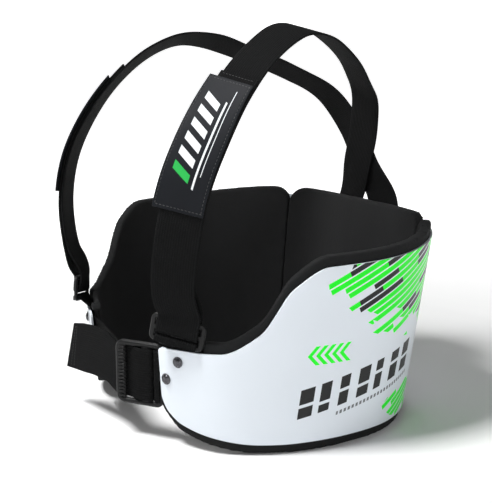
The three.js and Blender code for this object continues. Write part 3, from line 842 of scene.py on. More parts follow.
@dataclass(frozen=True)
class ShellGloss:
    """Glossy cool white lacquer, bare or with the printed graphics.

    Places and sizes of the graphics are in millimetres, round the body and up it.
    """

    white: Colour = (0.66, 0.705, 0.755, 1.0)
    white_drift: float = 0.985  # the least that the white fades to
    green: Colour = (0.0, 0.86, 0.008, 1.0)
    black: Colour = (0.004, 0.004, 0.005, 1.0)
    roughness: float = 0.34
    peel_scale: float = 260.0
    peel_depth: float = 0.00004  # in metres
    drift_scale: float = 9.0
    dash_pitch: float = 6.2
    dash_length: float = 27.0
    dash_slant: float = -24.0
    dash_half: float = 0.40  # half a dash's breadth, as a share of the pitch
    dark_from: float = 0.7  # dashes whose number is higher are black
    upper: Patch = ((-104.0, 162.0), (132.0, 70.0), 1.6, 3.0)
    lower: Patch = ((-92.0, 26.0), (62.0, 24.0), 1.0, 11.0)
    bar_start: Pair = (48.0, 33.0)
    bar_pitch: float = 21.0
    bar_count: int = 7
    bar_height: float = 27.0
    bar_rise: float = 11.0  # slope of the row of bars, in degrees
    bar_lean: float = 0.32
    bar_fill: Pair = (0.44, 0.28)  # least share of the pitch, and how much it varies
    slit_rise: Pair = (8.0, 9.0)
    slit_half: float = 1.5
    tick_from: float = 42.0
    tick_band: Pair = (-8.5, -5.2)
    tick_pitch: float = 4.6
    tick_fill: float = 0.6
    tick_ink: float = 0.8
    chevron_start: Pair = (40.0, 84.0)
    chevron_half: float = 9.0
    chevron_lean: float = 0.9
    chevron_pitch: float = 8.0
    chevron_fill: float = 0.55
    chevron_length: float = 40.0

    def _lines(self, recipe: Recipe, u: Wire, v: Wire, patch: Patch) -> tuple[Wire, Wire]:
        """Slanted dashes that thin out away from a middle.

        Args:
            recipe: The material being made.
            u: Distance round the body.
            v: Height.
            patch: Where the dashes are densest, how far they spread round the body and up,
                the share of the cells that are filled in the middle, and the seed.

        Returns:
            Where there is a dash, and its own number between 0 and 1.
        """
        middle, reach, fill, seed = patch
        slant = math.radians(self.dash_slant)
        along = u * math.cos(slant) + v * math.sin(slant)
        across = v * math.cos(slant) - u * math.sin(slant)
        row = (across / self.dash_pitch).floor()
        start = recipe.dice(recipe.vector(row, seed)) * self.dash_length * 3
        cell = ((along + start) / self.dash_length).floor()
        roll = recipe.dice(recipe.vector(row * 1.7 + seed, cell))
        hue = recipe.dice(recipe.vector(cell + seed, row * 2.3))
        du = (u - middle[0]) / reach[0]
        dv = (v - middle[1]) / reach[1]
        far = du * du + dv * dv
        keep = roll < (1.0 - far) * fill
        body = ((across / self.dash_pitch).share() - 0.5).size() < self.dash_half
        return keep * body * (far < 1.0), hue

    def _bars(self, recipe: Recipe, u: Wire, v: Wire) -> tuple[Wire, Wire]:
        """The row of bold slanted bars, and the fine ticks under it.

        Args:
            recipe: The material being made.
            u: Distance round the body.
            v: Height.

        Returns:
            Where there is a bar, and where there is a tick.
        """
        rise = math.radians(self.bar_rise)
        du, dv = self.bar_start[0] - u, v - self.bar_start[1]
        along = du * math.cos(rise) + dv * math.sin(rise)
        above = dv * math.cos(rise) - du * math.sin(rise)
        leaning = along - above * self.bar_lean
        end = self.bar_pitch * self.bar_count
        cell = (leaning / self.bar_pitch).floor()
        width = recipe.dice(recipe.vector(cell, 4.0)) * self.bar_fill[1] + self.bar_fill[0]
        bars = leaning.between(0.0, end) * above.between(0.0, self.bar_height)
        bars = bars * ((leaning / self.bar_pitch).share() < width)
        level = recipe.dice(recipe.vector(cell, 9.0)) * self.slit_rise[1] + self.slit_rise[0]
        slit = (above - level).size() > self.slit_half
        ticks = leaning.between(self.tick_from, end) * above.between(*self.tick_band)
        ticks = ticks * ((leaning / self.tick_pitch).share() < self.tick_fill)
        return bars * slit, ticks

    def _chevrons(self, u: Wire, v: Wire) -> Wire:
        """A small group of green chevrons above the bars.

        Args:
            u: Distance round the body.
            v: Height.

        Returns:
            Where there is a chevron.
        """
        du, dv = self.chevron_start[0] - u, v - self.chevron_start[1]
        bent = du - (dv - self.chevron_half).size() * self.chevron_lean
        strips = (bent / self.chevron_pitch).share() < self.chevron_fill
        place = dv.between(0.0, 2 * self.chevron_half) * bent.between(0.0, self.chevron_length)
        return strips * place

    def material(self, printed: bool) -> bpy.types.Material:
        """Makes the finish, with its graphics if it is printed.

        Args:
            printed: Whether it has the graphics.

        Returns:
            The material.
        """
        recipe = Recipe("shell_print" if printed else "shell_lacquer")
        places = recipe.places()
        peel = recipe.noise(places, self.peel_scale)
        drift = recipe.noise(places, self.drift_scale)
        colour = recipe.blend(drift, self.white, scaled(self.white, self.white_drift))
        if printed:
            u, v = recipe.map_places()
            upper, hue = self._lines(recipe, u, v, self.upper)
            lower, _ = self._lines(recipe, u, v, self.lower)
            bars, ticks = self._bars(recipe, u, v)
            dark = upper * (hue > self.dark_from)
            green = (upper * (hue < self.dark_from)).at_least(lower)
            colour = recipe.blend(green.at_least(self._chevrons(u, v)), colour, self.green)
            ink = dark.at_least(bars).at_least(ticks * self.tick_ink)
            colour = recipe.blend(ink, colour, self.black)
        return recipe.surface(
            Base_Color=colour, Roughness=self.roughness, Specular_IOR_Level=0.2,
            Coat_Weight=0.25, Coat_Roughness=0.08,
            Normal=recipe.bump(peel, self.peel_depth, 0.5),
        )


@dataclass(frozen=True)
class FoamSkin:
    """Charcoal closed-cell foam with fine pores."""

    dark: float = 0.0075
    light: float = 0.0145
    cloud_scale: float = 22.0
    pore_scale: float = 950.0
    cell_scale: float = 520.0
    depth: float = 0.00035  # in metres

    def material(self) -> bpy.types.Material:
        """Makes the finish.

        Returns:
            The material.
        """
        recipe = Recipe("lining_foam")
        places = recipe.places()
        cloudy = recipe.noise(places, self.cloud_scale, 3.0)
        pores = recipe.noise(places, self.pore_scale, 2.0, 0.7)
        cells = recipe.wire(recipe.node(
            "ShaderNodeTexVoronoi", {"feature": "F1"},
            {"Vector": places, "Scale": self.cell_scale}))
        height = pores * 0.6 + cells * 0.7
        tone = (cloudy * 0.6 + pores * 0.4)
        colour = recipe.blend(tone, grey(self.dark), grey(self.light, 0.04))
        return recipe.surface(
            Base_Color=colour, Roughness=0.86 + cloudy * 0.1, Specular_IOR_Level=0.12,
            Sheen_Weight=0.015, Sheen_Roughness=0.6,
            Normal=recipe.bump(height, self.depth, 0.55),
        )


@dataclass(frozen=True)
class Weave:
    """Black woven webbing with fine ribs and firmer edges."""

    width: float
    rib: float = 2.2  # width of a rib, in millimetres
    pick: float = 1.6  # length of a woven float
    edge: float = 2.2  # width of the firmer edge, which also gets a painted highlight
    dark: float = 0.0012
    light: float = 0.0085
    worn_scale: float = 60.0
    fuzz_scale: float = 900.0
    depth: float = 0.0005  # in metres

    def material(self) -> bpy.types.Material:
        """Makes the finish.

        Returns:
            The material.
        """
        recipe = Recipe(f"webbing_{self.width:.0f}")
        across, along = recipe.map_places()
        column = (across / self.rib).floor()
        odd = (column * 0.5).share() * 2.0
        ribs = (across * (math.pi / self.rib)).sine().size()
        floats = ((along / self.pick + odd * 0.5) * math.pi).sine().size()
        edge = across.size() > self.width / 2 - self.edge
        height = ribs * 0.6 + floats * 0.4
        worn = recipe.noise(recipe.places(), self.worn_scale, 3.0)
        fuzz = recipe.noise(recipe.places(), self.fuzz_scale, 2.0, 0.8)
        # painted shade: the grooves between ribs and floats are darker; painted highlight: the
        # edges are lighter; worn and fuzz vary the tone at random
        tone = (height * 0.55 + worn * 0.35 + fuzz * 0.25 + edge * 0.12).at_most(1.0)
        colour = recipe.blend(tone, grey(self.dark), grey(self.light, 0.03))
        return recipe.surface(
            Base_Color=colour, Roughness=0.66 + worn * 0.16, Specular_IOR_Level=0.04,
            Normal=recipe.bump(height + fuzz * 0.25 + edge * 0.35, self.depth, 0.8),
        )


@dataclass(frozen=True)
class LabelSkin:
    """Dark grey moulded label with a plain generic mark, laid out in millimetres."""

    ground: Colour = (0.0045, 0.0053, 0.007, 1.0)
    ground_drift: float = 1.5  # the most that the ground brightens to
    pale: Colour = (0.62, 0.64, 0.66, 1.0)
    green: Colour = (0.02, 0.33, 0.06, 1.0)
    mark: Pair = (26.0, 108.0)  # from and to along the label
    bar_pitch: float = 13.5
    bar_fill: float = 0.55
    bar_band: Pair = (-14.0, 3.0)
    bar_lean: float = 0.55
    rail: Pair = (8.0, 0.9)  # place across the label, and half the breadth
    fine: Pair = (12.0, 0.35)
    fine_shift: float = 8.0
    grain_scale: float = 700.0
    cloud_scale: float = 30.0
    depth: float = 0.0003  # in metres

    def material(self) -> bpy.types.Material:
        """Makes the finish.

        Returns:
            The material.
        """
        recipe = Recipe("strap_label")
        across, along = recipe.map_places()
        low, high = self.mark
        rail = (across - self.rail[0]).size() < self.rail[1]
        leaning = along + across * self.bar_lean
        bars = ((leaning / self.bar_pitch).share() < self.bar_fill) * across.between(*self.bar_band)
        mark = rail.at_least(bars) * leaning.between(low, high)
        fine = (across - self.fine[0]).size() < self.fine[1]
        mark = mark.at_least(fine * along.between(low + self.fine_shift, high + self.fine_shift))
        accent = bars * leaning.between(low, low + self.bar_pitch)
        grain = recipe.noise(recipe.places(), self.grain_scale, 2.0, 0.6)
        cloudy = recipe.noise(recipe.places(), self.cloud_scale, 3.0)
        colour = recipe.blend(cloudy, self.ground, scaled(self.ground, self.ground_drift))
        colour = recipe.blend(mark, colour, self.pale)
        colour = recipe.blend(accent, colour, self.green)
        return recipe.surface(
            Base_Color=colour, Roughness=0.55 + cloudy * 0.12, Specular_IOR_Level=0.12,
            Normal=recipe.bump(grain * 0.35 + mark * 0.5, self.depth, 0.5),
        )


@dataclass(frozen=True)
class Moulded:
    """Satin black moulded plastic, a little paler where it is rubbed."""

    base: float = 0.0045
    rubbed: float = 2.4  # how much paler
    rub_scale: float = 70.0
    grain_scale: float = 1600.0
    depth: float = 0.00006  # in metres

    def material(self) -> bpy.types.Material:
        """Makes the finish.

        Returns:
            The material.
        """
        recipe = Recipe("moulded_plastic")
        places = recipe.places()
        rub = recipe.noise(places, self.rub_scale, 4.0, 0.65)
        grain = recipe.noise(places, self.grain_scale, 2.0, 0.6)
        colour = recipe.blend(rub, grey(self.base), grey(self.base * self.rubbed, 0.03))
        return recipe.surface(
            Base_Color=colour, Roughness=0.36 + rub * 0.16, Specular_IOR_Level=0.2,
            Normal=recipe.bump(grain, self.depth, 0.5),
        )


@dataclass(frozen=True)
class RivetMetal:
    """Dark plated metal with faint scuffs."""

    dark: Colour = (0.03, 0.03, 0.035, 1.0)
    light: Colour = (0.13, 0.13, 0.14, 1.0)
    scuff_scale: float = 420.0
    depth: float = 0.00005  # in metres

    def material(self) -> bpy.types.Material:
        """Makes the finish.

        Returns:
            The material.
        """
        recipe = Recipe("rivet_metal")
        scuff = recipe.noise(recipe.places(), self.scuff_scale, 4.0, 0.7)
        colour = recipe.blend(scuff, self.dark, self.light)
        return recipe.surface(
            Base_Color=colour, Metallic=1.0, Roughness=0.18 + scuff * 0.2,
            Normal=recipe.bump(scuff, self.depth, 0.4),
        )


@dataclass(frozen=True)
class Thread:
    """Twisted sewing thread."""

    dark: float = 0.018
    light: float = 0.045
    twist_scale: float = 2400.0
    depth: float = 0.0001  # in metres

    def material(self) -> bpy.types.Material:
        """Makes the finish.

        Returns:
            The material.
        """
        recipe = Recipe("sewing_thread")
        twist = recipe.noise(recipe.places(), self.twist_scale)
        colour = recipe.blend(twist, grey(self.dark), grey(self.light))
        return recipe.surface(
            Base_Color=colour, Roughness=0.6, Normal=recipe.bump(twist, self.depth, 0.6))


@dataclass(frozen=True)
class FloorPaint:
    """Plain matt near-white floor that is lit from below away from the part."""

    level: float = 0.93
    level_drift: float = 0.985  # the least that the level fades to
    near: float = 0.42  # metres from the part where the light from below begins
    far: float = 1.1
    glow: float = 0.85

    def material(self) -> bpy.types.Material:
        """Makes the finish.

        Returns:
            The material.
        """
        recipe = Recipe("floor_paint")
        places = recipe.places()
        soft = recipe.noise(places, 3.0)
        colour = recipe.blend(soft, grey(self.level), grey(self.level * self.level_drift))
        x, y, _ = recipe.parts(places)
        reach = (x * x + y * y).power(0.5)
        lit = ((reach - self.near) / (self.far - self.near)).at_least(0.0).at_most(1.0)
        glow = recipe.blend(lit, grey(0.0), grey(1.0))
        return recipe.surface(
            Base_Color=colour, Roughness=0.9, Specular_IOR_Level=0.1,
            Emission_Color=glow, Emission_Strength=self.glow)


@dataclass
class Finishes:
    """Every finish of the part, each made once."""

    shell_print: bpy.types.Material = field(default_factory=lambda: ShellGloss().material(True))
    shell_plain: bpy.types.Material = field(default_factory=lambda: ShellGloss().material(False))
    foam: bpy.types.Material = field(default_factory=lambda: FoamSkin().material())
    strap: bpy.types.Material = field(default_factory=lambda: Weave(40.0).material())
    belt: bpy.types.Material = field(default_factory=lambda: Weave(50.0).material())
    label: bpy.types.Material = field(default_factory=lambda: LabelSkin().material())
    plastic: bpy.types.Material = field(default_factory=lambda: Moulded().material())
    metal: bpy.types.Material = field(default_factory=lambda: RivetMetal().material())
    thread: bpy.types.Material = field(default_factory=lambda: Thread().material())


@dataclass
class Needle:
    """Sews rows of stitches, each copied from one model."""

    length: float = 2.4
    thick: float = 0.55
    pitch: float = 3.3
    least: float = 1e-6  # a shorter stretch of a seam is passed over

    def _model(self) -> bpy.types.Object:
        """One stitch along X, standing a little out of the cloth.

        Returns:
            The stitch.
        """
        deselect()
        bpy.ops.mesh.primitive_uv_sphere_add(segments=6, ring_count=4, radius=1.0)
        stitch = bpy.context.active_object
        size = (self.length / 2, self.thick / 2, self.thick / 2)
        stitch.data.transform(Matrix.Rotation(math.pi / 2, 4, "Y"))
        stitch.data.transform(Matrix.Diagonal([s * MM for s in size] + [1.0]))
        return stitch

    def sew(self, name: str, lines: Iterable[Sequence[tuple[Vector, Vector]]]) -> bpy.types.Object:
        """Sews along lines.

        Args:
            name: The name of the sewn row.
            lines: For each seam, its points with the cloth's outward direction.

        Returns:
            All the stitches as one piece.
        """
        model = self._model()
        made = []
        for line in lines:
            left = self.pitch / 2
            for (a, face), (b, _) in zip(line, line[1:]):
                span = (b - a).length
                if span < self.least:
                    continue
                x = (b - a) / span
                y = face.cross(x).normalized()
                z = x.cross(y)
                while left <= span:
                    stitch = twin(model)
                    stitch.data.transform(matrix_of(a + x * left, x, y, z))
                    made.append(stitch)
                    left += self.pitch
                left -= span
        bpy.data.objects.remove(model)
        row = join(made, name)
        smooth_all(row)
        return row


def cross_seam(spot: Frame, half: float, face: Vector) -> list[tuple[Vector, Vector]]:
    """A seam straight across a band, whose cloth faces a direction."""
    return [(spot.point + spot.wide * s * half, face) for s in (-1, 1)]


# Pieces of the part


@dataclass
class Shell:
    """The stiff white wall that is open at the front."""

    wall: float = 2.0
    end_turn: float = 153.5
    corner: float = 9.0
    step: float = 1.2
    arc_steps: int = 8  # columns in each rounded end
    rows: int = 14
    edge: float = 0.7
    outward: float = 0.25  # a face that looks out by less than this is left unprinted

    def _turns(self) -> list[float]:
        """Turns of the wall's columns, closer together at its rounded ends.

        Returns:
            The turns, rising.
        """
        near = self.corner * RING.turn_per_mm(self.end_turn)
        steps = self.arc_steps
        arc = [near * (1 - math.cos(k * math.pi / (2 * steps))) for k in range(steps + 1)]
        inner = self.end_turn - near
        count = round(2 * inner / self.step)
        middle = [-inner + 2 * inner * k / count for k in range(1, count)]
        start = [a - self.end_turn for a in arc]
        return [*start, *middle, *(-a for a in reversed(start))]

    @staticmethod
    def corner_cut(distance: float, radius: float) -> float:
        """How far a round corner cuts into an edge at a distance from the end.

        Args:
            distance: The distance from the end.
            radius: The corner's radius.

        Returns:
            The depth of the cut.
        """
        if distance >= radius:
            return 0.0
        return radius - math.sqrt(max(radius ** 2 - (radius - distance) ** 2, 0.0))

    def _around(self, turns: Sequence[float]) -> list[float]:
        """Distance round the ring from its side, positive to the front, at each turn.

        Args:
            turns: The turns.

        Returns:
            The distances.
        """
        points = [RING.point(turn, RING.mid_height) for turn in turns]
        run = [0.0]
        for a, b in zip(points, points[1:]):
            run.append(run[-1] + (b - a).length)
        middle = run[-1] / 2
        side = next(r for t, r in zip(turns, run) if t >= 90) - middle
        return [abs(r - middle) - side for r in run]

    def build(self, looks: Finishes) -> bpy.types.Object:
        """Makes the wall and dresses it.

        Args:
            looks: The part's finishes.

        Returns:
            The wall.
        """
        turns = self._turns()
        around = self._around(turns)
        columns = []
        for turn, u in zip(turns, around):
            end = (self.end_turn - abs(turn)) / RING.turn_per_mm(self.end_turn)
            low = RING.foam_bottom(turn) + RING.lining_rim + self.corner_cut(end, self.corner)
            high = RING.foam_top(turn) - RING.lining_rim - self.corner_cut(end, self.corner / 2)
            heights = [lerp(low, high, k / self.rows) for k in range(self.rows + 1)]
            columns.append([(RING.point(turn, h, -self.wall / 2), (u, h)) for h in heights])
        piece = sheet_of("shell_wall", list(zip(*columns)))
        thicken(piece, self.wall)
        soften(piece, self.edge, 3, 55)
        shade(piece, 40)
        centre = PART_SHIFT * MM
        for polygon in piece.data.polygons:
            out = polygon.center - centre
            out.z = 0.0
            outer = polygon.normal.dot(out.normalized()) > self.outward
            polygon.material_index = 0 if outer else 1
        return settle(piece, (looks.shell_print, looks.shell_plain), "shell", "shell")


@dataclass
class Lining:
    """The three foam panels inside the shell."""

    voxel: float = 1.7
    smoothing: int = 6
    lip_turns: Pair = (145.0, 155.3)
    lip_thick: float = 4.6
    lip_layer: float = -4.75
    lip_overlap: float = 3.0  # how far the lip reaches behind the shell
    lip_least: float = 1.0  # its least height
    lip_end: float = 155.6
    lip_corner: float = 6.0
    lip_columns: int = 24
    lip_rows: int = 4

    def _lip(self, name: str) -> bpy.types.Object:
        """The foam's lower rim where it follows the shell's front corner, on the left.

        Args:
            name: Its name.

        Returns:
            The lip.
        """
        columns = []
        for k in range(self.lip_columns + 1):
            turn = lerp(*self.lip_turns, k / self.lip_columns)
            end = (self.lip_end - turn) / RING.turn_per_mm(turn)
            low = RING.foam_bottom(turn) + Shell.corner_cut(end, self.lip_corner)
            high = RING.foam_bottom(turn) + RING.lining_rim + self.lip_overlap
            high = max(high, low + self.lip_least)
            heights = [lerp(low, high, r / self.lip_rows) for r in range(self.lip_rows + 1)]
            columns.append([(RING.point(turn, h, self.lip_layer), (0.0, h)) for h in heights])
        piece = sheet_of(name, list(zip(*columns)))
        thicken(piece, self.lip_thick, even=False)
        return piece

    def _panel(self, node: str, looks: Finishes) -> bpy.types.Object:
        """Makes one panel from its solid, with soft edges.

        Args:
            node: The packed node.
            looks: The part's finishes.

        Returns:
            The panel.
        """
        piece = copy_of(node, f"{node}_foam")
        for side in Side:
            if node == f"lining_{side.tag}":
                lip = on_side(self._lip(f"{node}_lip"), side)
                piece = join([piece, lip], f"{node}_foam")
        finish_modifier(
            piece, "REMESH", mode="VOXEL", voxel_size=self.voxel * MM, use_smooth_shade=True)
        finish_modifier(piece, "SMOOTH", factor=0.5, iterations=self.smoothing)
        smooth_all(piece)
        return settle(piece, looks.foam, "foam", node)

    def build(self, looks: Finishes) -> list[bpy.types.Object]:
        """Makes all three panels."""
        return [self._panel(node, looks) for node in ("lining_back", "lining_left", "lining_right")]


@dataclass
class SliderPlace:
    """Where a slider lies on the body."""

    turn: float = 143.3
    lift: float = 19.0
    roll: float = 11.0
    twist: float = 16.0
    stand_off: float = 3.45

    def frame(self) -> Frame:
        """The slider's frame on the wearer's left.

        Returns:
            The frame.
        """
        edge = RING.foam_top(self.turn) - RING.lining_rim
        spot = RING.frame(self.turn, edge + self.lift, self.stand_off)
        twist = Quaternion(UP, math.radians(self.twist))
        face = twist @ spot.face
        wide = Quaternion(face, math.radians(-self.roll)) @ (twist @ -spot.wide)
        return Frame(spot.point, wide, face, face.cross(wide))


@dataclass
class StrapRoute:
    """The way of a shoulder strap from its slider to its lower end on the back."""

    side: Side
    spread: float = 114.5
    reach: float = 139.0
    back_reach: float = 157.0
    top: float = 378.0
    layer: float = 1.5
    rim_lift: float = 1.0
    end_height: float = 128.0
    end_shift: float = 44.0
    rim_shift: float = 25.0
    start: float = 16.0
    # across, front, height, facing and drop of each point, for the left and right strap
    front_rows: tuple[FrontRow, ...] = (
        (0.889, 0.991, (0.406, 0.406), (42, 40), (0, 0)),
        (0.972, 0.999, (0.532, 0.532), (45, 41), (0, 0)),
        (1.0, 0.93, (0.65, 0.65), (43, 42), (0, 0)),
        (0.99, 0.786, (0.757, 0.755), (42, 43), (0, 0)),
        (0.944, 0.587, (0.857, 0.851), (33, 42), (0, 2)),
        (0.898, 0.343, (0.943, 0.924), (27, 38), (4, 10)),
        (0.861, 0.076, (0.995, 0.961), (20, 20), (14, 20)),
        (0.815, -0.168, (0.986, 0.956), (-8, -20), (5, 14)),
        (0.704, -0.442, (0.939, 0.919), (-17, -18), (0, 4)),
    )
    # across, back, height, facing and layer of each point
    cross_rows: tuple[CrossRow, ...] = (
        (0.5, 0.641, (0.872, 0.868), (-19, -16), 0),
        (0.287, 0.844, (0.803, 0.806), (-9, -6), 0.5),
        (0.111, 0.952, (0.713, 0.713), (0, 0), 1),
        (-0.046, 1.0, (0.611, 0.611), (0, 0), 1),
    )

    def __post_init__(self) -> None:
        """Lays the curve and its width directions."""
        k = 0 if self.side is Side.LEFT else 1
        foot = SliderPlace().frame()
        points = [foot.point + foot.up * rise for rise in (0.0, self.start / 2, self.start)]
        wides = [foot.wide.copy() for _ in points]
        for across, front, height, facing, drop in self.front_rows:
            points.append(Vector((across * self.spread, -front * self.reach, height[k] * self.top)))
            wides.append(self._wide(facing[k], drop[k]))
        for across, back, height, facing, layer in self.cross_rows:
            y = back * self.back_reach - self.side.value * layer * self.layer
            points.append(Vector((across * self.spread, y, height[k] * self.top)))
            wides.append(self._wide(facing[k], 0.0))
        rim_turn, end_turn = self.turn_at(self.rim_shift), self.turn_at(self.end_shift)
        rim_height = RING.foam_top(rim_turn)
        rim_lift = self.rim_lift + (0.0 if self.side is Side.LEFT else 2 * self.layer)
        middle = ((rim_turn + end_turn) / 2, (rim_height + self.end_height) / 2, self.rim_lift / 2)
        lower = ((rim_turn, rim_height, rim_lift), middle, (end_turn, self.end_height, 0.0))
        for turn, height, lift in lower:
            spot = RING.frame(-turn, height, GAP + WEB / 2 + lift)
            points.append(spot.point)
            wides.append(spot.wide)
        self.curve = Spline(points)
        self.wides = wides

    @staticmethod
    def turn_at(shift: float) -> float:
        """The turn at a distance from the middle of the back."""
        return math.degrees(math.atan2(shift, RING.half_depth))

    @staticmethod
    def _wide(facing: float, drop: float) -> Vector:
        """A width direction from its turn about the upright and its hang."""
        a, b = math.radians(facing), math.radians(drop)
        return Vector((math.cos(a) * math.cos(b), math.sin(a) * math.cos(b), -math.sin(b)))

    def frame(self, along: float) -> Frame:
        """The strap's frame at a share of its length.

        Args:
            along: The share.

        Returns:
            The frame.
        """
        place = self.curve.place_of(along)
        point = self.curve.at(place)
        up = self.curve.tangent(place)
        last = len(self.wides) - 1
        i = min(int(place * last), last - 1)
        wide = self.wides[i].lerp(self.wides[i + 1], place * last - i)
        wide = (wide - up * wide.dot(up)).normalized()
        return Frame(point, wide, wide.cross(up), up)


def turn_round(spot: Frame, radius: float, down: float) -> list[Frame]:
    """The turn of a band round a bar, from the inner to the outer side.

    Args:
        spot: The bar's frame.
        radius: From the bar's middle to the band's middle.
        down: 1 to pass under the bar, -1 to pass over it.

    Returns:
        The band's frames.
    """
    frames = []
    for k in range(TURN_STEPS + 1):
        angle = math.pi * k / TURN_STEPS
        face = spot.face * -math.cos(angle) + spot.up * (-down * math.sin(angle))
        frames.append(Frame(spot.point + face * radius, spot.wide, face, spot.up))
    return frames


@dataclass
class ShoulderStrap:
    """A folded strap with its label, on one side."""

    side: Side
    width: float = 40.0
    fold_end: float = 0.352
    steps: int = 230
    settled: float = 0.8  # share of the length where the fold no longer lifts the strap
    label_from: Pair = (0.163, 0.147)  # left and right
    label_reach: float = 0.178
    label_width: float = 46.0
    label_thick: float = 1.4
    label_gap: float = 0.4
    label_shift: float = 3.5
    label_steps: int = 90
    seam_inset: float = 0.004  # from the label's end, as a share of the strap's length
    seam_edge: float = 2.3  # from the label's edge
    fold_seams: Pair = (0.004, 0.012)  # from the fold's end
    fold_alongs: tuple[float, ...] = (0, 0.02, 0.038, 0.065, 0.09, 1)
    fold_inner: tuple[float, ...] = (-1.4, -1.6, -2.0, -0.9, -0.6, -0.6)
    fold_outer: tuple[float, ...] = (1.4, 1.6, 2.1, 1.0, 0.65, 0.65)

    def __post_init__(self) -> None:
        """Lays the strap's route."""
        self.route = StrapRoute(self.side)
        self.label_start = self.label_from[0 if self.side is Side.LEFT else 1]
        self.label_end = self.label_start + self.label_reach

    def _inner(self, along: float) -> Frame:
        """The frame of the layer towards the body.

        Args:
            along: Share of the strap's length.

        Returns:
            The frame.
        """
        share = (along - self.fold_end) / (self.settled - self.fold_end)
        share = min(max(share, 0.0), 1.0)
        fade = 1 - share * share * (3 - 2 * share)
        lift = WEB * smooth_column(self.fold_alongs, self.fold_inner, along) * fade
        return self.route.frame(along).off(lift)

    def _outer(self, along: float) -> Frame:
        """The frame of the folded-back layer."""
        return self.route.frame(along).off(
            WEB * smooth_column(self.fold_alongs, self.fold_outer, along))

    @staticmethod
    def _even(frames: list[Frame], reach: int = 5) -> list[Frame]:
        """Evens out how the width turns from one frame to the next.

        Args:
            frames: The frames.
            reach: How many neighbours on each side count.

        Returns:
            The evened frames.
        """
        evened = []
        for k, here in enumerate(frames):
            near = frames[max(k - reach, 0):k + reach + 1]
            wide = sum((f.wide for f in near), Vector()).normalized()
            evened.append(Frame(here.point, wide, here.face, here.up, here.hug))
        return evened

    def _strap(self, looks: Finishes) -> bpy.types.Object:
        """Makes the webbing, down to the slider, round its bar and back up.

        Args:
            looks: The part's finishes.

        Returns:
            The webbing.
        """
        count = self.steps
        folded = round(count * self.fold_end)
        inner = self._even([self._inner(k / count) for k in range(count, -1, -1)])
        outer = self._even([self._outer(self.fold_end * k / folded) for k in range(folded + 1)])
        foot = SliderPlace().frame()
        bar = foot.point - foot.up * (SLIDER_BAR / 2 - SLIDER_THICK / 2)
        radius = SLIDER_THICK / 2 + GAP + WEB / 2
        fold = turn_round(Frame(bar, foot.wide, foot.face, foot.up), radius, 1.0)[1:-1]
        node = f"shoulder_strap_{self.side.tag}"
        piece = band(f"{node}_web", [*inner, *fold, *outer], self.width, WEB)
        return settle(on_side(piece, self.side), looks.strap, "webbing", node)

    def _label_frames(self, inset: float, lift: float) -> list[Frame]:
        """Frames over the folded-back layer, from one end of the label to the other.

        Args:
            inset: How far inside the label's ends they stay, as a share of the strap.
            lift: Height over the layer.

        Returns:
            The frames.
        """
        frames = []
        for k in range(self.label_steps + 1):
            along = lerp(
                self.label_start + inset, self.label_end - inset, k / self.label_steps)
            spot = self._outer(along).off(WEB / 2 + lift)
            point = spot.point - spot.wide * self.label_shift
            frames.append(Frame(point, spot.wide, spot.face, spot.up))
        return self._even(frames)

    def _label(self, looks: Finishes) -> bpy.types.Object:
        """Makes the label that is sewn over the strap.

        Args:
            looks: The part's finishes.

        Returns:
            The label.
        """
        node = f"strap_patch_{self.side.tag}"
        frames = self._label_frames(0.0, self.label_gap + self.label_thick / 2)
        piece = band(f"{node}_label", frames, self.label_width, self.label_thick, edge=0.4)
        return settle(on_side(piece, self.side), looks.label, "label", node)

    def _seams(self, looks: Finishes) -> bpy.types.Object:
        """Sews the label's border and the fold's end.

        Args:
            looks: The part's finishes.

        Returns:
            The stitches.
        """
        lift = self.label_gap + self.label_thick + THREAD_LIFT
        frames = self._label_frames(self.seam_inset, lift)
        half = self.label_width / 2 - self.seam_edge
        lines = [[(f.point + f.wide * s * half, f.face) for f in frames] for s in (-1, 1)]
        lines += [cross_seam(end, half, end.face) for end in (frames[0], frames[-1])]
        for back in self.fold_seams:
            end = self._outer(self.fold_end - back).off(WEB / 2 + THREAD_LIFT)
            lines.append(cross_seam(end, self.width / 2 - HEM_INSET, end.face))
        piece = Needle().sew(f"strap_stitches_{self.side.tag}", lines)
        return settle(on_side(piece, self.side), looks.thread, "webbing")

    def build(self, looks: Finishes) -> list[bpy.types.Object]:
        """Makes the strap, its label and its seams."""
        return [self._strap(looks), self._label(looks), self._seams(looks)]


@dataclass
class Rail:
    """A straight rounded rib of a moulded frame, along its own width or height."""

    middle: Pair
    size: Pair
    proud: float
    rounding: float

    def build(self, spot: Frame, thickness: float) -> bpy.types.Object:
        """Makes the rib on a frame that is a plate of some thickness.

        Args:
            spot: The plate's frame.
            thickness: The plate's thickness.

        Returns:
            The rib.
        """
        deselect()
        bpy.ops.mesh.primitive_cube_add(size=1.0)
        piece = bpy.context.active_object
        size = (*self.size, thickness + 2 * self.proud)
        piece.data.transform(Matrix.Diagonal([s * MM for s in size] + [1.0]))
        soften(piece, self.rounding, 4, 30)
        point = spot.point + spot.wide * self.middle[0] + spot.up * self.middle[1]
        piece.data.transform(matrix_of(point, spot.wide, spot.up, spot.face))
        return piece


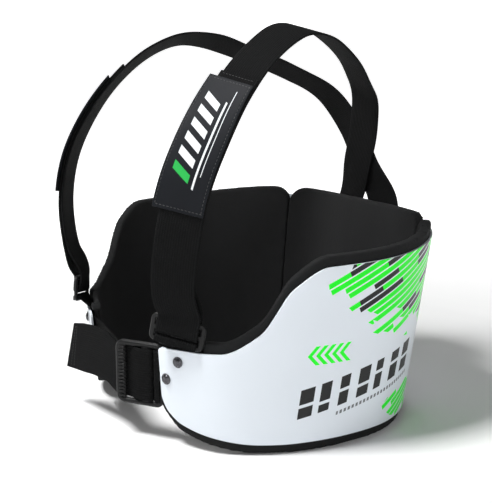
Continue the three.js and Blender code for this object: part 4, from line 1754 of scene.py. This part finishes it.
@dataclass
class Slider:
    """A slider on the strap and the webbing that ties it down."""

    side: Side
    width: float = 52.0
    rise: float = 26.0
    anchor_width: float = 40.0
    anchor_low: float = 72.0
    anchor_return: float = 3.0
    anchor_clearance: float = 1.5
    anchor_layer: float = -3.3
    anchor_steps: int = 8
    return_steps: int = 3
    rail_margin: Pair = (9.0, 0.8)  # how much shorter and slimmer a rail is than its bar
    rail_proud: float = 0.5
    rail_rounding: float = 1.6

    def _frame_piece(self, looks: Finishes) -> bpy.types.Object:
        """Makes the slider from its solid, with rounded bars.

        Args:
            looks: The part's finishes.

        Returns:
            The slider.
        """
        name = f"slider_{self.side.tag}"
        body = copy_of(name, f"{name}_frame")
        soften(body, 0.5, 2, 30)
        shade(body, 40)
        spot = SliderPlace().frame()
        size = (self.width - self.rail_margin[0], SLIDER_BAR - self.rail_margin[1])
        rails = []
        for s in (-1, 1):
            middle = (0.0, s * (self.rise - SLIDER_BAR) / 2)
            rail = Rail(middle, size, self.rail_proud, self.rail_rounding)
            rails.append(on_side(rail.build(spot, SLIDER_THICK), self.side))
        piece = join([body, *rails], f"{name}_frame")
        shade(piece, 40)
        return settle(piece, looks.plastic, "plastic", name)

    def _anchor_path(self) -> list[Frame]:
        """Frames of the anchor, from behind the shell round the slider's lower bar.

        Returns:
            The frames.
        """
        turn = SliderPlace().turn
        foot = SliderPlace().frame()
        drop = self.rise / 2 - SLIDER_BAR / 2 - (SLIDER_BAR / 2 - SLIDER_THICK / 2)
        bar = Frame(foot.point - foot.up * drop, foot.wide, foot.face, foot.up)
        loop = turn_round(bar, SLIDER_THICK / 2 + GAP + WEB / 2, -1.0)
        last = loop[-1]
        ends = []
        for k in range(1, self.return_steps + 1):
            point = last.point - foot.up * self.anchor_return * k / self.return_steps
            ends.append(Frame(point, last.wide, last.face, last.up))
        edge = RING.foam_top(turn) - RING.lining_rim + self.anchor_clearance
        per_mm = RING.turn_per_mm(turn)
        tucked = []
        for k in range(self.anchor_steps + 1):
            height = lerp(self.anchor_low, edge, k / self.anchor_steps)

            def hug(across: float, level: float = height) -> tuple[Vector, Vector]:
                """The place on the body at a distance across the anchor."""
                spot = RING.frame(turn - across * per_mm, level, self.anchor_layer)
                return spot.point, -spot.face

            tucked.append(Frame(hug(0.0)[0], foot.wide, -foot.face, foot.up, hug))
        return [*tucked, *loop, *ends]

    def _anchor(self, looks: Finishes) -> bpy.types.Object:
        """Makes the webbing that ties the slider to the body.

        Args:
            looks: The part's finishes.

        Returns:
            The webbing.
        """
        name = f"slider_anchor_{self.side.tag}"
        piece = band(f"{name}_web", self._anchor_path(), self.anchor_width, WEB)
        return settle(on_side(piece, self.side), looks.strap, "webbing", name)

    def build(self, looks: Finishes) -> list[bpy.types.Object]:
        """Makes the slider and its anchor."""
        return [self._frame_piece(looks), self._anchor(looks)]


@dataclass
class Belt:
    """The belt's two pieces and the buckle between them."""

    width: float = 50.0
    height: float = 63.0
    layer: float = -5.6
    tuck_turn: float = 147.0
    guide_turns: tuple[float, ...] = (149.5, 152.0, 155.0)
    tab_guide_turn: float = 149.0
    tab_clearance: float = 1.5
    tab_return: float = 0.5
    tail_end: float = 70.0
    tail_out: float = 158.0
    tail_slant: float = 10.0  # how far the free end's last edge leans
    slant_over: float = 0.3  # the share of the free end that leans
    tail_steps: int = 40
    hem: tuple[int, int] = (4, 6)  # places of the hem's seams, in steps from the end
    tail_clearance: float = 1.0
    tail_alongs: tuple[float, ...] = (0.0, 0.1, 0.22, 0.4, 0.7, 1.0)
    tail_rises: tuple[float, ...] = (0.5, 3.5, 7.0, 7.0, 4.5, 1.0)
    buckle_turn: float = 31.0
    buckle_length: float = 51.0
    buckle_height: float = 62.0
    buckle_thick: float = 4.0
    buckle_corner: float = 9.0
    rim_radius: float = 2.7
    bend_steps: int = 8  # steps of the rim round a corner
    ribs: int = 15
    rib_inset: float = 6.8  # from the buckle's outer end to the ribs' middle
    rib_margin: float = 7.5  # from the buckle's edge to the first rib
    rib_size: Pair = (6.2, 2.0)
    rib_proud: float = 0.9
    rib_rounding: float = 0.8
    outer_bar: float = 10.0
    middle_bar: float = 9.0
    inner_bar: float = 7.0
    inner_slot: float = 7.5
    fold_swell: float = 1.0  # more of the doubled webbing on each side of the inner slot
    bar_turn: float = 155.355
    bar_depth: float = 5.016
    cross_steps: int = 12  # steps of the belt from the shell's end to the buckle
    rise_steps: int = 6  # and up to the middle bar
    dive_steps: int = 14  # and back under the outer bar

    @property
    def _radius(self) -> float:
        """From the middle of the buckle's plate to the middle of webbing that lies on it."""
        return self.buckle_thick / 2 + GAP + WEB / 2

    def spot(self) -> Frame:
        """The buckle's own frame.

        Returns:
            The frame.
        """
        turn = math.radians(self.buckle_turn)
        wide = Vector((math.cos(turn), math.sin(turn), 0.0))
        bar = RING.point(self.bar_turn, self.height, -self.bar_depth)
        middle = bar - wide * (self.buckle_length / 2 - self.inner_bar / 2)
        return Frame(middle, wide, Vector((math.sin(turn), -math.cos(turn), 0.0)))

    def _on_buckle(self, along: float, out: float) -> Vector:
        """A place in plan on the buckle."""
        spot = self.spot()
        return spot.point + spot.wide * along + spot.face * out

    def _bar_fold(self, shift: float, width: float, reach: float) -> list[Vector]:
        """Half a turn in plan round a bar of the buckle.

        Args:
            shift: Place of the bar's middle along the buckle.
            width: The bar's width.
            reach: 1 to pass round the bar's inner edge, -1 round its outer edge.

        Returns:
            Its points.
        """
        centre = shift + reach * (width / 2 - self.buckle_thick / 2)
        angles = [math.pi * k / TURN_STEPS for k in range(TURN_STEPS + 1)]
        return [
            self._on_buckle(
                centre + reach * self._radius * math.sin(a), -self._radius * math.cos(a))
            for a in angles
        ]

    def _path(self, points: Sequence[tuple[Vector, float, Vector]]) -> list[Frame]:
        """Frames along points in plan, each with its rise and its lean.

        Args:
            points: The points, each with its rise and its lean.

        Returns:
            The frames.
        """
        frames = []
        for k, (point, rise, lean) in enumerate(points):
            before, after = points[max(k - 1, 0)][0], points[min(k + 1, len(points) - 1)][0]
            face = Vector((after.y - before.y, before.x - after.x, 0.0)).normalized()
            frames.append(Frame(Vector((point.x, point.y, self.height + rise)), lean, face))
        return frames

    def _tucked(self, turns: Sequence[float]) -> list[tuple[Vector, float, Vector]]:
        """The stretch of a belt that runs behind the shell.

        Args:
            turns: Its turns.

        Returns:
            Its points, each with its rise and its lean.
        """
        rows = []
        for turn in turns:
            low = RING.point(turn, self.height, self.layer)
            rows.append((low, 0.0, RING.point(turn, self.height + 1, self.layer) - low))
        return rows

    def _tab_frames(self) -> list[Frame]:
        """The fixed tab, from behind the shell round the inner bar.

        Returns:
            The frames.
        """
        half = self.buckle_length / 2
        shift = half - self.inner_bar / 2
        guide = self.tab_guide_turn
        tuck = self._tucked([self.tuck_turn, (self.tuck_turn + guide) / 2, guide])
        plan = [
            self._on_buckle(half + self.tab_clearance, -self._radius),
            *self._bar_fold(shift, self.inner_bar + 2 * self.fold_swell, -1.0),
            self._on_buckle(shift + self.tab_return, self._radius),
        ]
        return self._path([*tuck, *[(p, 0.0, UP) for p in plan]])

    def _belt_frames(self) -> list[Frame]:
        """The adjustable belt, from behind the shell over the middle bar to its free end.

        Returns:
            The frames.
        """
        half = self.buckle_length / 2
        radius = self._radius
        under = radius + WEB + GAP
        slot_left = -half + self.outer_bar
        bar_left = half - self.inner_bar - self.inner_slot - self.middle_bar
        tuck = self._tucked([-t for t in (self.tuck_turn, *self.guide_turns)])
        entry = self._on_buckle(-half + self.tail_clearance, -under)
        first = Vector((tuck[-1][0].x, tuck[-1][0].y, 0.0))
        last = Vector((entry.x, entry.y, 0.0))
        steps = self.cross_steps
        across = [first.lerp(last, k / steps) for k in range(1, steps)]
        rising = []
        for k in range(self.rise_steps + 1):
            share = k / self.rise_steps
            climb = (1 - math.cos(math.pi * share)) / 2
            rising.append(
                self._on_buckle(lerp(slot_left, bar_left, share), lerp(-under, -radius, climb)))
        fold = self._bar_fold(
            bar_left + (self.middle_bar + self.fold_swell) / 2,
            self.middle_bar + 2 * self.fold_swell, 1.0)
        dive = []
        for k in range(self.dive_steps + 1):
            share = k / self.dive_steps
            dive.append(self._on_buckle(
                lerp(bar_left, slot_left, share), radius * math.cos(math.pi * share)))
        front = self._on_buckle(-half - self.tail_clearance, -radius)
        tail = []
        for k in range(1, self.tail_steps + 1):
            along = k / self.tail_steps
            x = lerp(front.x, -self.tail_end, along)
            y = lerp(front.y, -self.tail_out, along)
            lean = max(along - (1 - self.slant_over), 0.0) / self.slant_over
            slant = lean * self.tail_slant / (self.width / 2)
            rise = smooth_column(self.tail_alongs, self.tail_rises, along)
            tail.append((Vector((x, y, 0.0)), rise, Vector((slant, 0.0, 1.0))))
        middle = [(p, 0.0, UP) for p in [*across, entry, *rising, *fold, *dive, front]]
        return self._path([*tuck, *middle, *tail])

    def _seams(self, looks: Finishes, belt: Sequence[Frame]) -> bpy.types.Object:
        """Sews the free end's hem.

        Args:
            looks: The part's finishes.
            belt: The belt's frames.

        Returns:
            The stitches.
        """
        lines = []
        for back in self.hem:
            end = belt[-back]
            out = 1 if end.face.y < 0 else -1
            spot = end.off(out * (WEB / 2 + THREAD_LIFT))
            lines.append(cross_seam(spot, self.width / 2 - HEM_INSET, end.face * out))
        return settle(Needle().sew("belt_stitches", lines), looks.thread, "webbing")

    def _rim(self, spot: Frame) -> bpy.types.Object:
        """Makes the round rim that runs right round the buckle's plate.

        Args:
            spot: The buckle's frame.

        Returns:
            The rim.
        """
        x = self.buckle_length / 2 - self.rim_radius
        y = self.buckle_height / 2 - self.rim_radius
        bend = self.buckle_corner - self.rim_radius
        places = []
        for quarter, (sx, sy) in enumerate(((1, 1), (-1, 1), (-1, -1), (1, -1))):
            for k in range(self.bend_steps + 1):
                angle = math.pi / 2 * (quarter + k / self.bend_steps)
                places.append((
                    sx * (x - bend) + bend * math.cos(angle),
                    sy * (y - bend) + bend * math.sin(angle)))
        curve = bpy.data.curves.new("buckle_rim", "CURVE")
        curve.dimensions = "3D"
        curve.bevel_depth = self.rim_radius * MM
        curve.bevel_resolution = 4
        line = curve.splines.new("POLY")
        line.points.add(len(places) - 1)
        for corner, (across, rise) in zip(line.points, places):
            corner.co = (across * MM, rise * MM, 0.0, 1.0)
        line.use_cyclic_u = True
        activate(linked(bpy.data.objects.new("buckle_rim", curve)))
        bpy.ops.object.convert(target="MESH")
        piece = bpy.context.active_object
        piece.data.transform(matrix_of(spot.point, spot.wide, spot.up, spot.face))
        return piece

    def _buckle(self, looks: Finishes) -> bpy.types.Object:
        """Makes the buckle from its solid, with a thick round rim and a ribbed bar.

        Args:
            looks: The part's finishes.

        Returns:
            The buckle.
        """
        spot = self.spot()
        body = copy_of("buckle_frame", "buckle_frame_body")
        soften(body, 0.6, 2, 30)
        across = self.rib_inset - self.buckle_length / 2
        reach = self.buckle_height / 2 - self.rib_margin
        rails = [self._rim(spot)]
        for k in range(self.ribs):
            level = lerp(-1.0, 1.0, k / (self.ribs - 1)) * reach
            rail = Rail((across, level), self.rib_size, self.rib_proud, self.rib_rounding)
            rails.append(rail.build(spot, self.buckle_thick))
        piece = join([body, *rails], "buckle_frame_moulded")
        shade(piece, 40)
        return settle(piece, looks.plastic, "plastic", "buckle_frame")

    def build(self, looks: Finishes) -> list[bpy.types.Object]:
        """Makes the tab, the belt and the buckle.

        Args:
            looks: The part's finishes.

        Returns:
            The pieces.
        """
        made = []
        frames = self._belt_frames()
        for node, path in (("belt_tab_left", self._tab_frames()), ("belt_right", frames)):
            piece = band(f"{node}_web", path, self.width, WEB)
            made.append(settle(piece, looks.belt, "webbing", node))
        return [*made, self._buckle(looks), self._seams(looks, frames)]


@dataclass
class Rivets:
    """Domed rivets, four on the shell's ends and four on the straps' lower ends."""

    radius: float = 5.2
    rise: float = 2.6
    flange: float = 0.9
    seat: float = 0.25
    sides: int = 40
    edge: float = 0.35
    dome_reach: float = 0.8  # the dome's radius, as a share of the flange's
    dome_foot: float = 0.6  # where the dome starts, as a share of the flange's thickness
    turns: Pair = (144.8, 150.4)  # upper and lower
    heights: Pair = (83.8, 64.8)
    strap_seat: float = 3.3
    strap_heights: Pair = (150.0, 136.0)

    def _model(self) -> bpy.types.Object:
        """One rivet that stands along Z on the floor of its seat.

        Returns:
            The rivet.
        """
        deselect()
        bpy.ops.mesh.primitive_cylinder_add(
            vertices=self.sides, radius=self.radius * MM, depth=self.flange * MM)
        flange = bpy.context.active_object
        flange.data.transform(Matrix.Translation((0, 0, self.flange / 2 * MM)))
        soften(flange, self.edge, 3, 40)
        deselect()
        bpy.ops.mesh.primitive_uv_sphere_add(
            segments=self.sides, ring_count=self.sides // 2, radius=1.0)
        dome = bpy.context.active_object
        bpy.ops.object.mode_set(mode="EDIT")
        bpy.ops.mesh.select_all(action="SELECT")
        bpy.ops.mesh.bisect(plane_co=(0, 0, 0), plane_no=(0, 0, 1), use_fill=True, clear_inner=True)
        bpy.ops.object.mode_set(mode="OBJECT")
        foot = self.flange * self.dome_foot
        reach = self.radius * self.dome_reach
        size = (reach, reach, self.rise - foot)
        dome.data.transform(Matrix.Diagonal([s * MM for s in size] + [1.0]))
        dome.data.transform(Matrix.Translation((0, 0, foot * MM)))
        return join([flange, dome], "rivet_model")

    def _strap_turn(self, level: int) -> float:
        """The turn of a strap rivet on the leaning strap end.

        Args:
            level: 0 for the upper rivet, 1 for the lower.

        Returns:
            The turn, in degrees.
        """
        route = StrapRoute(Side.LEFT)
        rim, end = route.turn_at(route.rim_shift), route.turn_at(route.end_shift)
        low, high = route.end_height, RING.foam_top(rim)
        return lerp(end, rim, (self.strap_heights[level] - low) / (high - low))

    def build(self, looks: Finishes) -> list[bpy.types.Object]:
        """Makes all eight rivets from one model.

        Args:
            looks: The part's finishes.

        Returns:
            The rivets.
        """
        model = self._model()
        made = []
        for level, word in enumerate(("upper", "lower")):
            places = (
                ("shell", self.turns[level], self.heights[level], self.seat),
                ("strap", self._strap_turn(level), self.strap_heights[level], self.strap_seat),
            )
            for kind, turn, height, seat in places:
                for side in Side:
                    spot = RING.frame(side.value * turn, height, seat)
                    piece = twin(model)
                    node = f"{kind}_rivet_{word}_{side.tag}"
                    piece.name = f"{node}_head"
                    up = spot.face.cross(spot.wide)
                    piece.data.transform(matrix_of(spot.point, spot.wide, up, spot.face))
                    face_outwards(piece)
                    shade(piece, 40)
                    made.append(settle(piece, looks.metal, "metal", node))
        bpy.data.objects.remove(model)
        return made


@dataclass(frozen=True)
class Lamp:
    """A square soft lamp, placed along the photograph's own directions, in metres."""

    name: str
    right: float
    front: float
    rise: float
    size: float
    power: float


@dataclass
class Studio:
    """Floor, soft lights and the camera at the photograph's angle."""

    azimuth: float = 55.9797
    elevation: float = 12.467
    distance: float = 1045.5376
    focal: float = 1092.5763
    shift_across: float = 5.3621
    shift_up: float = 144.5012
    scale: float = 1.06
    frame_height: float = 503.0
    sensor: float = 36.0
    floor_size: float = 60.0
    sky: float = 0.15
    wall_radius: float = 29.0
    wall_height: float = 4.0
    aim: float = 0.15  # height that the lamps look at
    clip: Pair = (0.05, 100.0)
    lamps: tuple[Lamp, ...] = (
        Lamp("key", -0.61, 0.34, 1.4, 0.36, 28.0),
        Lamp("fill", 0.15, 1.6, 0.4, 1.2, 6.5),
        Lamp("rim", -0.5, -1.1, 0.9, 0.9, 3.0),
    )

    def _axes(self) -> tuple[Vector, Vector, Vector]:
        """The camera's right, up and back directions.

        Returns:
            The three directions.
        """
        a, e = math.radians(self.azimuth), math.radians(self.elevation)
        right = Vector((math.cos(a), math.sin(a), 0.0))
        back = Vector((math.sin(a) * math.cos(e), -math.cos(a) * math.cos(e), math.sin(e)))
        return right, back.cross(right), back

    def _camera(self) -> None:
        """Stands the camera where the photograph was taken."""
        right, up, back = self._axes()
        target = right * (self.shift_across * self.scale) + UP * (self.shift_up * self.scale)
        data = bpy.data.cameras.new("camera")
        data.sensor_fit = "VERTICAL"
        data.sensor_height = self.sensor
        data.lens = self.sensor * self.focal / self.frame_height
        data.clip_start, data.clip_end = self.clip
        camera = linked(bpy.data.objects.new("camera", data))
        place = target + back * self.distance * self.scale
        camera.matrix_world = matrix_of(place, right, up, back)
        bpy.context.scene.camera = camera

    def _light(self, lamp: Lamp) -> None:
        """Hangs a lamp so that it looks at the part.

        Args:
            lamp: The lamp.
        """
        right, _, back = self._axes()
        front = Vector((back.x, back.y, 0.0)).normalized()
        place = right * lamp.right + front * lamp.front + UP * lamp.rise
        data = bpy.data.lights.new(lamp.name, "AREA")
        data.shape = "SQUARE"
        data.size = lamp.size
        data.energy = lamp.power
        light = linked(bpy.data.objects.new(lamp.name, data))
        light.location = place
        light.rotation_mode = "QUATERNION"
        light.rotation_quaternion = (place - UP * self.aim).to_track_quat("Z", "Y")

    def build(self) -> None:
        """Makes the floor, the light and the camera."""
        deselect()
        bpy.ops.mesh.primitive_plane_add(size=self.floor_size)
        floor = bpy.context.active_object
        floor.name = "floor"
        paint = FloorPaint().material()
        floor.data.materials.append(paint)
        deselect()
        bpy.ops.mesh.primitive_cylinder_add(
            vertices=96, radius=self.wall_radius, depth=self.wall_height, end_fill_type="NOTHING")
        wall = bpy.context.active_object
        wall.name = "studio_wall"
        wall.data.transform(Matrix.Translation((0, 0, self.wall_height / 2)))
        wall.data.materials.append(paint)
        world = bpy.data.worlds.new("studio")
        world.use_nodes = True
        sky = world.node_tree.nodes["Background"].inputs
        sky[0].default_value, sky[1].default_value = grey(1.0), self.sky
        bpy.context.scene.world = world
        for lamp in self.lamps:
            self._light(lamp)
        self._camera()
        bpy.context.scene.view_settings.view_transform = "Standard"


def main() -> None:
    """Builds the part and its studio."""
    logging.basicConfig(level=logging.INFO, format="%(name)s: %(message)s")
    looks = Finishes()
    Studio().build()
    Shell().build(looks)
    Lining().build(looks)
    for side in Side:
        ShoulderStrap(side).build(looks)
        Slider(side).build(looks)
    Belt().build(looks)
    Rivets().build(looks)


if __name__ == "__main__":
    main()
